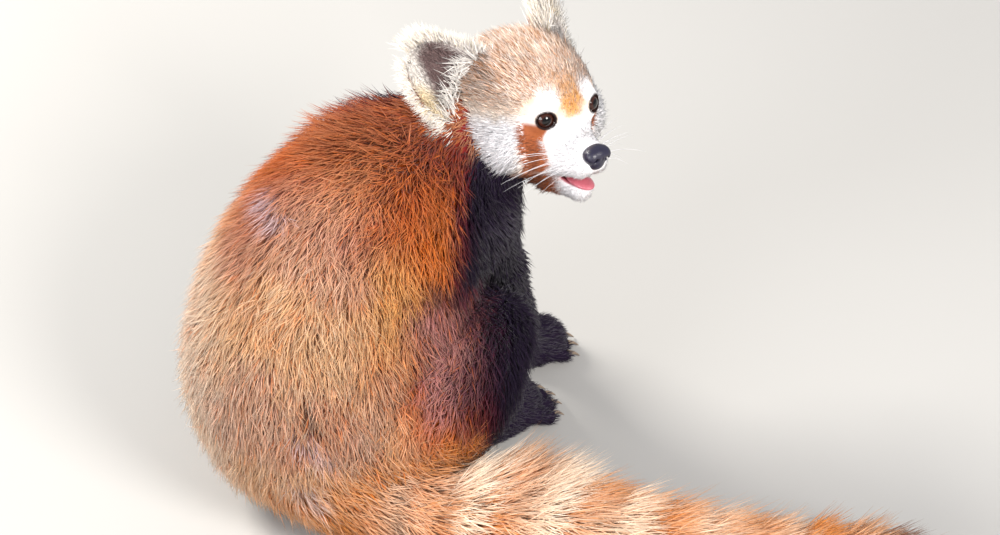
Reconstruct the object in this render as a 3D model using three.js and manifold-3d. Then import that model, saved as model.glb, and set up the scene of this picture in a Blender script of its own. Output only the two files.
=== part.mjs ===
// A red panda at life size, sitting on its haunches and looking back over its right shoulder, in one still pose.
// Millimetres. +Z is up, +X is the way that the tail lies on the floor, and +Y is away from the tail.
// The origin is on the floor, in the flat that the rump rests on.
// Every piece of flesh is a capsule blank whose points are moved out to the skin of a field of round forms.

import * as THREE from 'three';
import { LoftGeometry } from 'three/addons/geometries/LoftGeometry.js';
import { mergeVertices } from 'three/addons/utils/BufferGeometryUtils.js';
import Module from 'manifold-3d';

const wasm = await Module();
wasm.setup();

// Left between two pieces that touch.
const GAP = 0.3;

// Colours and finishes of the coat, the bare skin and the eyes
const finish = (color, roughness = 0.9) => new THREE.MeshStandardMaterial({ color, roughness, metalness: 0 });
const RUST_COAT = finish('#b4662c');
const BLACK_COAT = finish('#2b2024');
const FACE_COAT = finish('#dcb58e');
const EAR_COAT = finish('#efe6d6');
const TAIL_COAT = finish('#c98545');
const NOSE_LEATHER = finish('#1b1820', 0.45);
const EYE_GLASS = finish('#2a1512', 0.1);
const TONGUE_SKIN = finish('#d9717c', 0.5);

// Points and directions

const at = (x, y, z) => new THREE.Vector3(x, y, z);

// The forward, left and up directions of a piece that is turned by heading, then pitched up, then rolled.
function axes(heading, pitch = 0, roll = 0) {
  const [turn, rise, lean] = [heading, pitch, roll].map(THREE.MathUtils.degToRad);
  const forward = at(Math.cos(turn) * Math.cos(rise), Math.sin(turn) * Math.cos(rise), Math.sin(rise));
  const level = at(-Math.sin(turn), Math.cos(turn), 0);
  const upright = forward.clone().cross(level);
  const left = level.clone().multiplyScalar(Math.cos(lean)).addScaledVector(upright, Math.sin(lean));
  const up = forward.clone().cross(left);
  return { forward, left, up };
}

// The point that lies so far forward, left and up of another.
function beside(point, way, forward, left, up) {
  return point.clone()
    .addScaledVector(way.forward, forward)
    .addScaledVector(way.left, left)
    .addScaledVector(way.up, up);
}

const between = (start, end, share) => start.clone().lerp(end, share);

// Fields: the distance from a point to a form's surface, below zero inside it

function egg(middle, way, long, wide, tall) {
  return (point) => {
    const away = point.clone().sub(middle);
    const ahead = away.dot(way.forward);
    const aside = away.dot(way.left);
    const above = away.dot(way.up);
    const size = Math.hypot(ahead / long, aside / wide, above / tall);
    const slope = Math.hypot(ahead / long ** 2, aside / wide ** 2, above / tall ** 2);
    return slope < 1e-6 ? -Math.min(long, wide, tall) : (size * (size - 1)) / slope;
  };
}

function limb(start, end, startRadius, endRadius) {
  const line = new THREE.Line3(start, end);
  const nearest = at(0, 0, 0);
  return (point) => {
    const share = line.closestPointToPointParameter(point, true);
    line.at(share, nearest);
    return point.distanceTo(nearest) - THREE.MathUtils.lerp(startRadius, endRadius, share);
  };
}

// Forms run into one another over about the given width.
function blend(width, ...fields) {
  return (point) => fields
    .map((field) => field(point))
    .reduce((one, other) => {
      const share = Math.max(width - Math.abs(one - other), 0) / width;
      return Math.min(one, other) - (share * share * width) / 4;
    });
}

const onFloor = (field) => (point) => Math.max(field(point), -point.z);

// Skins: closed geometry round a path, out to where a field is zero

function firstSurface(start, way, field, reach) {
  const point = start.clone();
  let travelled = 0;
  for (let step = 0; step < 80; step += 1) {
    const depth = -field(point);
    if (depth < 0.004) break;
    travelled = Math.min(travelled + 0.85 * depth, reach);
    point.copy(start).addScaledVector(way, travelled);
  }
  if (point.z < 0.1) point.z = 0;
  return point;
}

// The blank's points with their doubles merged, and without the triangles that this closes up.
function closed(geometry) {
  const bare = new THREE.BufferGeometry()
    .setAttribute('position', geometry.getAttribute('position'))
    .setIndex(geometry.index);
  const merged = mergeVertices(bare, 1e-5);
  const corners = Array.from(merged.index.array);
  const kept = [];
  for (let i = 0; i < corners.length; i += 3) {
    const [a, b, c] = corners.slice(i, i + 3);
    if (a !== b && b !== c && c !== a) kept.push(a, b, c);
  }
  merged.setIndex(kept);
  return merged;
}

function skin({ path, field, top = at(0, 0, 1), around = 16, along = 4, caps = 4, reach = 250 }) {
  const geometry = closed(new THREE.CapsuleGeometry(1, 2, caps, around, along));
  const points = geometry.getAttribute('position');
  for (let i = 0; i < points.count; i += 1) {
    const blank = at(0, 0, 0).fromBufferAttribute(points, i);
    const height = THREE.MathUtils.clamp(blank.y, -1, 1);
    const share = (height + 1) / 2;
    const tangent = path.getTangentAt(share);
    const side = tangent.clone().cross(top).normalize();
    const normal = side.clone().cross(tangent);
    const way = side.multiplyScalar(blank.x)
      .addScaledVector(tangent, blank.y - height)
      .addScaledVector(normal, blank.z)
      .normalize();
    const point = firstSurface(path.getPointAt(share), way, field, reach);
    points.setXYZ(i, point.x, point.y, point.z);
  }
  return geometry;
}

const line = (start, end) => new THREE.LineCurve3(start, end);

// Solids: joining and cutting

function solidOf(geometry) {
  return new wasm.Manifold(new wasm.Mesh({
    numProp: 3,
    vertProperties: new Float32Array(geometry.getAttribute('position').array),
    triVerts: new Uint32Array(geometry.index.array),
  }));
}

const fill = (plan) => solidOf(skin(plan));
const grown = (plan) => fill({ ...plan, field: (point) => plan.field(point) - GAP });
const join = (...solids) => solids.reduce((all, next) => all.add(next));
const cut = (solid, ...tools) => tools.reduce((left, tool) => left.subtract(tool), solid);

// What lies ahead of the plane through a point, and what lies behind it.
const ahead = (solid, point, way) => solid.trimByPlane(way.toArray(), way.dot(point) + GAP / 2);
const behind = (solid, point, way) => ahead(solid, point, way.clone().negate());

// One node holds one closed body, so the loose scraps of a cut are dropped.
function largest(solid) {
  const bodies = solid.decompose();
  return bodies.reduce((best, next) => (next.volume() > best.volume() ? next : best));
}

const panda = new THREE.Group();

function addNode(name, solid, material) {
  const mesh = largest(solid).getMesh();
  const geometry = new THREE.BufferGeometry()
    .setAttribute('position', new THREE.BufferAttribute(new Float32Array(mesh.vertProperties), 3))
    .setIndex(new THREE.BufferAttribute(new Uint32Array(mesh.triVerts), 1));
  geometry.computeVertexNormals();
  const node = new THREE.Mesh(geometry, material);
  node.name = name;
  panda.add(node);
}

// Locks: flat tapered tufts of long hair, rooted in the flesh and lying along it

const random = (() => {
  let seed = 4127;
  return () => {
    seed = (seed * 16807) % 2147483647;
    return seed / 2147483647;
  };
})();
const vary = (spread) => 1 + spread * (2 * random() - 1);

// Along a lock: the share of its length, of its width and of its rise above the root.
const LOCK_STATIONS = [[0, 0.6, 0], [0.3, 1, 0.72], [0.68, 0.75, 0.98], [1, 0.05, 1.04]];
const LOCK_FLATNESS = 0.34;

// Extra is added all round, for the space that other pieces keep clear of.
function lock({ root, out, lie, length, width, rise, sink }, extra = 0) {
  const flow = lie.clone().addScaledVector(out, -lie.dot(out)).normalize();
  const side = out.clone().cross(flow);
  const sections = LOCK_STATIONS.map(([share, breadth, lift]) => {
    const middle = root.clone()
      .addScaledVector(flow, share * (length + 2 * extra) - extra)
      .addScaledVector(out, lift * (rise + sink) - sink);
    const half = (breadth * width) / 2 + extra;
    const deep = ((breadth * width) / 2) * LOCK_FLATNESS + extra;
    return [[half, 0], [0, deep], [-half, 0], [0, -deep]].map(
      ([across, above]) => middle.clone().addScaledVector(side, across).addScaledVector(out, above),
    );
  });
  return solidOf(closed(new LoftGeometry(sections, { capStart: true, capEnd: true })));
}

// Body: the pelvis faces away from the view, and the spine winds round towards the animal's right as it climbs

const PELVIS = axes(62);
const LOIN = axes(52, 25);
const CHEST = axes(40, 40);
const RUMP_MIDDLE = at(-9, -3, 90);
const LOIN_MIDDLE = at(-15, 12, 146);
const BACK_MIDDLE = at(8, 44, 170);
const CHEST_MIDDLE = at(24, 70, 182);
const WITHERS = at(50, 96, 202);
const NECK_TOP = at(114, 121, 256);
const THROAT_TOP = at(106, 108, 224);
const THROAT_ROOT = at(101, 98, 172);
const NECK_ROOT = between(WITHERS, NECK_TOP, 0.42);
const NECK_WAY = NECK_TOP.clone().sub(WITHERS).normalize();
const SPINE_SIDE = at(0.3, -0.95, 0);

const bodyField = blend(
  42,
  egg(RUMP_MIDDLE, PELVIS, 104, 109, 100),
  egg(LOIN_MIDDLE, LOIN, 102, 94, 97),
  egg(BACK_MIDDLE, LOIN, 94, 88, 90),
  egg(CHEST_MIDDLE, CHEST, 86, 75, 80),
  limb(WITHERS, NECK_TOP, 64, 40),
  limb(THROAT_TOP, THROAT_ROOT, 31, 29),
);
const body = {
  path: line(at(2, -2, 70), at(84, 104, 226)),
  field: onFloor(bodyField),
  top: SPINE_SIDE,
  around: 26,
  along: 8,
  caps: 7,
};

// Head: its own directions, from the point midway between the eyes

const HEAD_HEADING = -51;
const HEAD_PITCH = 13;
const HEAD_ROLL = -5.7;
const HEAD = axes(HEAD_HEADING, HEAD_PITCH, HEAD_ROLL);
const EYES_MIDDLE = at(167, 82, 276);
const onHead = (forward, left, up) => beside(EYES_MIDDLE, HEAD, forward, left, up);

const LEFT = 1;
const RIGHT = -1;
const pair = (form) => [form(LEFT), form(RIGHT)];

const EYE_SPACING = 39;
const EYE_RADIUS = 9;
const EYE_DEPTH = 9;
const EYE_TURN = 22;
const eyeMiddle = (side) => onHead(-EYE_DEPTH, (side * EYE_SPACING) / 2, 0);
const eyeWay = (side) => axes(HEAD_HEADING + side * EYE_TURN, HEAD_PITCH, HEAD_ROLL);

const headField = blend(
  12,
  blend(
    18,
    egg(onHead(-60, 0, 0), HEAD, 54, 54, 47),
    egg(onHead(-24, 0, 1), HEAD, 27, 33, 31),
    ...pair((side) => egg(onHead(-56, side * 33, -25), HEAD, 36, 31, 32)),
  ),
  blend(
    7,
    limb(onHead(-16, 0, -20), onHead(17, 0, -28), 21, 13),
    ...pair((side) => limb(onHead(-10, side * 12, -34), onHead(15, side * 7.5, -36), 14, 9.5)),
  ),
  limb(onHead(-36, 0, -52), onHead(4, 0, -58.5), 17, 10),
);
const head = {
  path: line(onHead(-62, 0, -8), onHead(-2, 0, -28)),
  field: headField,
  top: HEAD.up,
  around: 32,
  along: 9,
  caps: 7,
};

const nose = {
  path: line(onHead(22, 0, -27), onHead(25, 0, -27)),
  field: blend(
    3,
    egg(onHead(25, 0, -24.5), HEAD, 8.5, 10, 6.5),
    egg(onHead(24, 0, -29.5), HEAD, 7, 7.5, 8),
  ),
  top: HEAD.up,
  around: 12,
  along: 1,
  caps: 3,
};
const nostril = (side) => ({
  path: line(onHead(30, side * 4, -26), onHead(32, side * 4.5, -26)),
  field: egg(onHead(32, side * 4.4, -26), HEAD, 4.5, 2.3, 2.6),
  top: HEAD.up,
  around: 6,
  along: 1,
  caps: 2,
});
const eye = (side) => ({
  path: line(eyeMiddle(side), eyeMiddle(side).add(HEAD.forward)),
  field: (point) => point.distanceTo(eyeMiddle(side)) - EYE_RADIUS,
  top: HEAD.up,
  around: 12,
  along: 1,
  caps: 4,
});
const MOUTH_MIDDLE = onHead(4, 0, -49.5);
const MOUTH_HALF_WIDTH = 12;
const MOUTH_HALF_HEIGHT = 5.5;
const mouth = {
  path: line(onHead(2, 0, -49.5), onHead(6, 0, -49.5)),
  field: egg(MOUTH_MIDDLE, HEAD, 17, MOUTH_HALF_WIDTH, MOUTH_HALF_HEIGHT),
  top: HEAD.up,
  around: 12,
  along: 1,
  caps: 3,
};
const TONGUE_WAY = axes(HEAD_HEADING, HEAD_PITCH - 14, HEAD_ROLL);
const tongue = {
  path: line(onHead(-2, 0, -53), onHead(6, 0, -53.5)),
  field: egg(onHead(3, 0, -53), TONGUE_WAY, 13, 8, 3.2),
  top: HEAD.up,
  around: 12,
  along: 1,
  caps: 3,
};

// A ring squashed to the given half sizes and set square to a direction, as a lid or a lip is.
function rim({ middle, way, wide, tall, thickness }) {
  const sides = 6;
  const steps = 14;
  const ring = new THREE.TorusGeometry(1, thickness / wide, sides, steps);
  const flattened = new THREE.Matrix4().makeScale(wide, tall, wide);
  const turned = new THREE.Matrix4().makeBasis(way.left, way.up, way.forward).setPosition(middle);
  return solidOf(closed(ring.applyMatrix4(flattened).applyMatrix4(turned)));
}

const lids = (side) => rim({
  middle: eyeMiddle(side).addScaledVector(eyeWay(side).forward, 4.6),
  way: eyeWay(side),
  wide: 8.6,
  tall: 7.4,
  thickness: 2.4,
});
const lips = rim({
  middle: onHead(6, 0, -50.5),
  way: axes(HEAD_HEADING, HEAD_PITCH - 38, HEAD_ROLL),
  wide: MOUTH_HALF_WIDTH - 2,
  tall: 9,
  thickness: 2,
});

// Ruff: long white hair that hangs back and down from each cheek

const CHEEK_HEART = (side) => onHead(-50, side * 14, -20);
const RUFF_ROWS = [
  { spread: 0.95, from: 165, to: 285, count: 5 },
  { spread: 0.5, from: 160, to: 290, count: 6 },
];
const RUFF_LENGTH = 30;
const RUFF_WIDTH = 15;

function ruff(side) {
  return RUFF_ROWS.flatMap(({ spread, from, to, count }) => Array.from({ length: count }, (_, i) => {
    const turn = THREE.MathUtils.degToRad(from + ((to - from) * i) / (count - 1)) * vary(0.02);
    const out = HEAD.left.clone().multiplyScalar(side * spread)
      .addScaledVector(HEAD.forward, 0.7 * Math.cos(turn))
      .addScaledVector(HEAD.up, 0.7 * Math.sin(turn))
      .normalize();
    return {
      root: firstSurface(CHEEK_HEART(side), out, headField, 200),
      out,
      lie: HEAD.forward.clone().multiplyScalar(-0.75).addScaledVector(HEAD.up, -0.6 * vary(0.2)),
      length: RUFF_LENGTH * vary(0.2),
      width: RUFF_WIDTH * vary(0.15),
      rise: 5,
      sink: 4,
    };
  }));
}

// Ears: curved leaves, hollow in front. The right one stands out to the side, and the left is swung back.

const EAR_SINK = 12;
const EAR_HALF_WIDTH = 30;
const EAR_DEPTH = 17;
const EAR_THICKNESS = 6;
const EAR_STATIONS = [0, 0.3, 0.55, 0.76, 0.9, 0.97, 1];
const EAR_TURNS = 6;

// The points of half an oval, from one edge of the ear to the other.
function earArc(middle, across, facing, halfWidth, depth) {
  return Array.from({ length: EAR_TURNS }, (_, i) => {
    const turn = Math.PI * (i / (EAR_TURNS - 1) - 0.5);
    return middle.clone()
      .addScaledVector(across, halfWidth * Math.sin(turn))
      .addScaledVector(facing, -depth * Math.cos(turn));
  });
}

// The named shares of the way up an ear, its half width there, and the way that it opens.
function earForm({ root, tip, across }) {
  const rise = tip.clone().sub(root);
  const facing = rise.clone().cross(across).normalize();
  const length = rise.length() + EAR_SINK;
  rise.normalize();
  const spine = (share) => root.clone().addScaledVector(rise, share * length - EAR_SINK);
  const taper = (share) => Math.sqrt(1.02 - share ** 3);
  return { across, rise, facing, spine, taper };
}

function ear(place) {
  const { across, facing, spine, taper } = earForm(place);
  const sections = EAR_STATIONS.map((share) => {
    const halfWidth = EAR_HALF_WIDTH * taper(share);
    const depth = EAR_DEPTH * taper(share) * (1 - 0.35 * share);
    const wall = Math.min(EAR_THICKNESS, depth * 0.7);
    const outside = earArc(spine(share), across, facing, halfWidth, depth);
    const inside = earArc(spine(share), across, facing, halfWidth - 0.5 * wall, depth - wall);
    return [...outside, ...inside.reverse()];
  });
  return solidOf(closed(new LoftGeometry(sections, { capStart: true, capEnd: true })));
}

// A fringe of soft locks stands out from both edges, and a few lie up the hollow from its foot.
const FRINGE_SHARES = [0.34, 0.5, 0.66, 0.81, 0.94];
const FRINGE_LENGTH = 16;
const FRINGE_WIDTH = 13;
const HOLLOW_PLACES = [-0.3, 0.3];

function earLocks(place) {
  const { across, rise, facing, spine, taper } = earForm(place);
  const edge = (sign) => FRINGE_SHARES.map((share) => ({
    root: spine(share).addScaledVector(across, sign * (EAR_HALF_WIDTH * taper(share) - 3)),
    out: facing,
    lie: across.clone().multiplyScalar(sign * (1.1 - share)).addScaledVector(rise, 0.35 + share),
    length: FRINGE_LENGTH * vary(0.2),
    width: FRINGE_WIDTH * vary(0.15),
    rise: 1,
    sink: 0,
  }));
  const hollow = HOLLOW_PLACES.map((aside) => ({
    root: spine(0.3)
      .addScaledVector(across, aside * EAR_HALF_WIDTH)
      .addScaledVector(facing, 2 - EAR_DEPTH * Math.sqrt(1 - aside ** 2)),
    out: facing,
    lie: rise,
    length: 30 * vary(0.2),
    width: 9,
    rise: 7,
    sink: 4,
  }));
  return [...edge(LEFT), ...edge(RIGHT), ...hollow];
}

const onHeadWay = (forward, left, up) => onHead(forward, left, up).sub(EYES_MIDDLE).normalize();
const ears = {
  left: { root: onHead(-61, 41, 20), tip: onHead(-108, 60, 65), across: onHeadWay(-0.12, -0.4, 0.9) },
  right: { root: onHead(-61, -45, 11), tip: onHead(-76, -88, 48), across: onHeadWay(0.1, -0.55, -0.82) },
};

// Limbs, each given for the animal's left and its right

const shoulder = { left: at(30, 126, 180), right: at(88, 70, 186) };
const elbow = { left: at(66, 164, 112), right: at(108, 98, 122) };
const wrist = { left: at(84, 178, 42), right: at(127, 134, 42) };
const forepawWay = { left: axes(20), right: axes(32) };
const hip = { left: at(-34, 38, 80), right: at(50, -42, 96) };
const knee = { left: at(-40, 120, 84), right: at(106, 38, 106) };
const ankle = { left: at(-44, 82, 26), right: at(87, 38, 32) };
const hindFootWay = { left: axes(84), right: axes(36) };
const thighWay = { left: axes(88, 4), right: axes(46, 16) };

const armField = (side) => limb(shoulder[side], elbow[side], 42, 28);
const upperArm = (side) => ({
  path: line(shoulder[side], elbow[side]),
  field: armField(side),
  top: forepawWay[side].forward,
  around: 16,
  along: 3,
  caps: 4,
  reach: 48,
});
const forearm = (side) => ({
  path: line(elbow[side], wrist[side]),
  field: blend(14, armField(side), limb(elbow[side], wrist[side], 28, 21)),
  top: forepawWay[side].forward,
  around: 14,
  along: 3,
  caps: 4,
  reach: 36,
});

const thighField = (side) => blend(
  20,
  egg(between(hip[side], knee[side], 0.42), thighWay[side], 70, 55, 60),
  limb(hip[side], knee[side], 58, 38),
);
const thigh = (side) => ({
  path: line(between(hip[side], knee[side], 0.15), knee[side]),
  field: onFloor(blend(18, bodyField, thighField(side))),
  around: 20,
  along: 3,
  caps: 5,
  reach: 80,
});
const shin = (side) => ({
  path: line(knee[side], ankle[side]),
  field: onFloor(limb(knee[side], ankle[side], 34, 24)),
  top: hindFootWay[side].forward,
  around: 14,
  along: 3,
  caps: 4,
  reach: 42,
});

// A foot is a pad with five toes across its front, from the point on the floor below its joint.
const TOES = [-2, -1, 0, 1, 2];
const CLAW_LENGTH = 13;
const CLAW_RADIUS = 2.1;

function footForm(joint, way, { length, wide, tall, back, toe }) {
  const heel = at(joint.x, joint.y, 0);
  const on = (forward, left, up) => beside(heel, way, forward, left, up);
  const front = length - back;
  const toeTips = TOES.map((place) => ({
    aside: place * wide * 0.21,
    reach: front - toe - 2.2 * place * place,
  }));
  return { on, front, toeTips };
}

function foot(joint, way, sizes) {
  const { length, wide, tall, back, toe } = sizes;
  const { on, front, toeTips } = footForm(joint, way, sizes);
  const toes = toeTips.map(({ aside, reach }) => limb(
    on(reach - 2.4 * toe, aside * 0.8, tall * 0.6),
    on(reach, aside, toe * 0.9),
    toe * 1.1,
    toe,
  ));
  return {
    path: line(on(tall - back, 0, tall * 0.75), on(front - 2.2 * toe, 0, tall * 0.5)),
    field: onFloor(blend(
      4,
      blend(
        14,
        limb(on(tall - back, 0, tall * 0.8), on(front * 0.5, 0, tall * 0.65), tall, tall * 0.85),
        egg(on(front * 0.4, 0, tall * 0.5), way, length * 0.36, wide * 0.46, tall * 0.7),
      ),
      ...toes,
    )),
    around: 18,
    along: 4,
    caps: 4,
  };
}

// A claw is a slim cone that comes out of the top of a toe and points to the floor ahead.
function claws(joint, way, sizes) {
  const { on } = footForm(joint, way, sizes);
  const down = way.forward.clone().multiplyScalar(0.9).addScaledVector(way.up, -0.42).normalize();
  const turned = new THREE.Quaternion().setFromUnitVectors(at(0, 1, 0), down);
  return footForm(joint, way, sizes).toeTips.map(({ aside, reach }) => {
    const cone = new THREE.ConeGeometry(CLAW_RADIUS, CLAW_LENGTH, 5).applyQuaternion(turned);
    const middle = on(reach + sizes.toe * 0.95, aside, sizes.toe * 0.75);
    cone.translate(middle.x, middle.y, middle.z);
    return solidOf(closed(cone));
  });
}

const FOREPAW_SIZES = { length: 66, wide: 48, tall: 22, back: 18, toe: 7.5 };
const HIND_FOOT_SIZES = { length: 106, wide: 50, tall: 29, back: 24, toe: 9 };
const forepawAt = (side) => [wrist[side], forepawWay[side], FOREPAW_SIZES];
const hindFootAt = (side) => [ankle[side], hindFootWay[side], HIND_FOOT_SIZES];

// Tail: from under the rump, round its near side and along the floor

const TAIL_LINE = new THREE.CatmullRomCurve3([
  at(10, -60, 50),
  at(60, -96, 50),
  at(115, -110, 50),
  at(165, -128, 48),
  at(225, -148, 45),
  at(295, -158, 41),
  at(360, -156, 37),
  at(404, -152, 32),
]);
const TAIL_RADII = [46, 52, 53, 52, 50, 46, 42, 34];
const TAIL_CORE = 0.56;
const KEEL_HEIGHT = 0.33;
const KEEL_RADIUS = 0.35;

function tailCoreField() {
  const stops = TAIL_RADII.map((radius, i) => ({
    radius,
    middle: TAIL_LINE.getPoint(i / (TAIL_RADII.length - 1)),
    keel: TAIL_LINE.getPoint(i / (TAIL_RADII.length - 1)).setZ(KEEL_HEIGHT * radius),
  }));
  const lengths = stops.slice(1).map((stop, i) => {
    const last = stops[i];
    return blend(
      12,
      limb(last.middle, stop.middle, TAIL_CORE * last.radius, TAIL_CORE * stop.radius),
      limb(last.keel, stop.keel, KEEL_RADIUS * last.radius, KEEL_RADIUS * stop.radius),
    );
  });
  return onFloor(blend(5, ...lengths));
}
const tail = {
  path: TAIL_LINE,
  field: tailCoreField(),
  around: 12,
  along: 16,
  caps: 3,
};

// Rings of locks lie along the tail like shingles, and stand out to its full width.
const TAIL_RINGS = 11;
const FIRST_RING = 0.08;
const LAST_RING = 0.97;
const TAIL_LOCK_LENGTH = 64;
const TAIL_LOCK_WIDTH = 30;
const LOWEST_LOCK = -0.35;

function tailLocks() {
  const radii = new THREE.SplineCurve(TAIL_RADII.map((radius, i) => new THREE.Vector2(i, radius)));
  return Array.from({ length: TAIL_RINGS }, (_, ring) => {
    const share = FIRST_RING + ((LAST_RING - FIRST_RING) * ring) / (TAIL_RINGS - 1);
    const middle = TAIL_LINE.getPoint(share);
    const along = TAIL_LINE.getTangent(share);
    const level = at(0, 0, 1).cross(along).normalize();
    const upright = along.clone().cross(level);
    const radius = radii.getPoint(share).y;
    const count = Math.round((2 * Math.PI * radius * 0.8) / TAIL_LOCK_WIDTH);
    const shift = (ring % 2) * 0.5;
    return Array.from({ length: count }, (_, i) => {
      const turn = (2 * Math.PI * (i + shift)) / count;
      const out = level.clone().multiplyScalar(Math.cos(turn)).addScaledVector(upright, Math.sin(turn));
      return {
        root: firstSurface(middle, out, tail.field, 200),
        out,
        lie: along,
        length: TAIL_LOCK_LENGTH * vary(0.15),
        width: TAIL_LOCK_WIDTH * vary(0.12),
        rise: radius * (1 - TAIL_CORE) * vary(0.12) - 3,
        sink: 6,
      };
    }).filter(({ out }) => out.z > LOWEST_LOCK);
  }).flat();
}
const TAIL_CUTS = [0.4, 0.7];

// The nodes, each cut clear of all those before it

const bodySolid = fill(body);
const bodySpace = grown(body);
const headSpace = grown(head);
const ruffLocks = pair(ruff).flat();
addNode('head', cut(
  join(fill(head), ...pair(lids), lips, cut(join(...ruffLocks.map((one) => lock(one))), bodySpace)),
  fill(mouth),
  grown(tongue),
  grown(nose),
  ...pair((side) => grown(eye(side))),
), FACE_COAT);
addNode('nose', cut(fill(nose), ...pair((side) => fill(nostril(side)))), NOSE_LEATHER);
addNode('tongue', fill(tongue), TONGUE_SKIN);
addNode('torso', cut(behind(bodySolid, NECK_ROOT, NECK_WAY), headSpace), RUST_COAT);
addNode('neck', cut(ahead(bodySolid, NECK_ROOT, NECK_WAY), headSpace), RUST_COAT);

const spaces = [headSpace, bodySpace, join(...ruffLocks.map((one) => lock(one, GAP)))];
function addPiece(name, plan, material, extras = []) {
  addNode(name, cut(join(fill(plan), ...extras), ...spaces), material);
  spaces.push(grown(plan));
}

for (const [side, sign] of [['left', LEFT], ['right', RIGHT]]) {
  addNode(`eye_${side}`, fill(eye(sign)), EYE_GLASS);
  const hair = earLocks(ears[side]).map((one) => lock(one));
  addNode(`ear_${side}`, cut(join(ear(ears[side]), ...hair), ...spaces), EAR_COAT);
}
for (const side of ['left', 'right']) {
  addPiece(`thigh_${side}`, thigh(side), RUST_COAT);
  addPiece(`shin_${side}`, shin(side), BLACK_COAT);
  addPiece(`hind_foot_${side}`, foot(...hindFootAt(side)), BLACK_COAT, claws(...hindFootAt(side)));
}
for (const side of ['right', 'left']) {
  addPiece(`upper_arm_${side}`, upperArm(side), BLACK_COAT);
  addPiece(`forearm_${side}`, forearm(side), BLACK_COAT);
  addPiece(`forepaw_${side}`, foot(...forepawAt(side)), BLACK_COAT, claws(...forepawAt(side)));
}

const tailCoat = join(fill(tail), ...tailLocks().map((one) => lock(one)));
const tailSolid = cut(tailCoat.trimByPlane([0, 0, 1], 0), ...spaces);
const [firstCut, secondCut] = TAIL_CUTS.map((share) => ({
  point: TAIL_LINE.getPointAt(share),
  way: TAIL_LINE.getTangentAt(share),
}));
addNode('tail_root', behind(tailSolid, firstCut.point, firstCut.way), TAIL_COAT);
addNode('tail_middle', behind(
  ahead(tailSolid, firstCut.point, firstCut.way),
  secondCut.point,
  secondCut.way,
), TAIL_COAT);
addNode('tail_tip', ahead(tailSolid, secondCut.point, secondCut.way), TAIL_COAT);

export default panda;
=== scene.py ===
import math

import bpy
import numpy as np
import openvdb
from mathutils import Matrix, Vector
from mathutils.kdtree import KDTree


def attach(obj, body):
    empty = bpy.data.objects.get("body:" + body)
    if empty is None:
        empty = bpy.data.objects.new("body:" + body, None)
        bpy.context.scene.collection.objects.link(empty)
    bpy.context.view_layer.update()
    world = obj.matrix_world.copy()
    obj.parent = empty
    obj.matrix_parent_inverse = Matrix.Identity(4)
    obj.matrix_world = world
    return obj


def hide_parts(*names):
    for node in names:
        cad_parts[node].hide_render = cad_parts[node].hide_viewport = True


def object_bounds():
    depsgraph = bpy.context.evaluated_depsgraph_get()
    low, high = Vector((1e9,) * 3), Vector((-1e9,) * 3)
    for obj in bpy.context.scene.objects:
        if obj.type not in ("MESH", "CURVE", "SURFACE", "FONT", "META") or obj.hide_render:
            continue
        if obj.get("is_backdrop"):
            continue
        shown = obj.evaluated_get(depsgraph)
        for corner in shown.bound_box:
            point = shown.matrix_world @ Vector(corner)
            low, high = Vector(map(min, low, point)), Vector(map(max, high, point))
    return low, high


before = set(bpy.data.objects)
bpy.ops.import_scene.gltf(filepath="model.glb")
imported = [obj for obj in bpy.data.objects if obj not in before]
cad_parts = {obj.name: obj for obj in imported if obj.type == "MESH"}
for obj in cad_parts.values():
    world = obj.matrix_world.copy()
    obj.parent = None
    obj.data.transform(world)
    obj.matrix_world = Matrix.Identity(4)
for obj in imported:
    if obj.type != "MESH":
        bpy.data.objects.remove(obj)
cad_low, cad_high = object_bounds()

# Skin of the body, legs and tail core
# The hide of a stuffed and mounted animal, in one closed piece that lies under the coat.
# Every form is a rounded solid, in millimetres, and they run into one another as flesh does.


def way(heading, pitch=0.0, roll=0.0):
    """Rows that point forward, left and up."""
    turn, rise, lean = np.radians([heading, pitch, roll])
    forward = np.array(
        [math.cos(turn) * math.cos(rise), math.sin(turn) * math.cos(rise), math.sin(rise)]
    )
    level = np.array([-math.sin(turn), math.cos(turn), 0.0])
    left = level * math.cos(lean) + np.cross(forward, level) * math.sin(lean)
    return np.array([forward, left, np.cross(forward, left)])


def egg(middle, turned, *half_sizes):
    """How far each point is from the surface of an egg, below zero inside it."""
    sizes = np.array(half_sizes)
    rows = (turned.T / sizes).astype(np.float32)
    squares = (turned.T / sizes**2).astype(np.float32)
    heart = np.array(middle, np.float32)

    def field(points):
        away = points - heart
        size = np.linalg.norm(away @ rows, axis=-1)
        slope = np.linalg.norm(away @ squares, axis=-1)
        return size * (size - 1) / np.maximum(slope, 1e-5)

    return field


def limb(start, end, start_radius, end_radius):
    """The same for a round limb that may taper."""
    root = np.array(start, np.float32)
    reach = np.array(end, np.float32) - root

    def field(points):
        away = points - root
        share = np.clip(away @ (reach / (reach @ reach)), 0, 1)
        off = np.linalg.norm(away - share[..., None] * reach, axis=-1)
        return off - (start_radius + (end_radius - start_radius) * share)

    return field


def blend(width, *fields):
    """Forms that run into one another over about the given width."""

    def field(points):
        value = fields[0](points)
        for other in fields[1:]:
            near = other(points)
            share = np.maximum(width - np.abs(value - near), 0) / width
            value = np.minimum(value, near) - share * share * width / 4
        return value

    return field


def deeper(field, depth):
    """The form, smaller by the depth all round."""
    return lambda points: field(points) + depth


def carved(width, field, tool):
    """The field with the tool's form cut out of it, its edge rounded over about the width."""

    def result(points):
        value, hole = field(points), -tool(points)
        share = np.maximum(width - np.abs(value - hole), 0) / width
        return np.maximum(value, hole) + share * share * width / 4

    return result


def on_floor(field):
    """The form, cut off flat at the floor."""
    return lambda points: np.maximum(field(points), -points[..., 2])


def between(start, end, share):
    return np.array(start) * (1 - share) + np.array(end) * share


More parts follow.
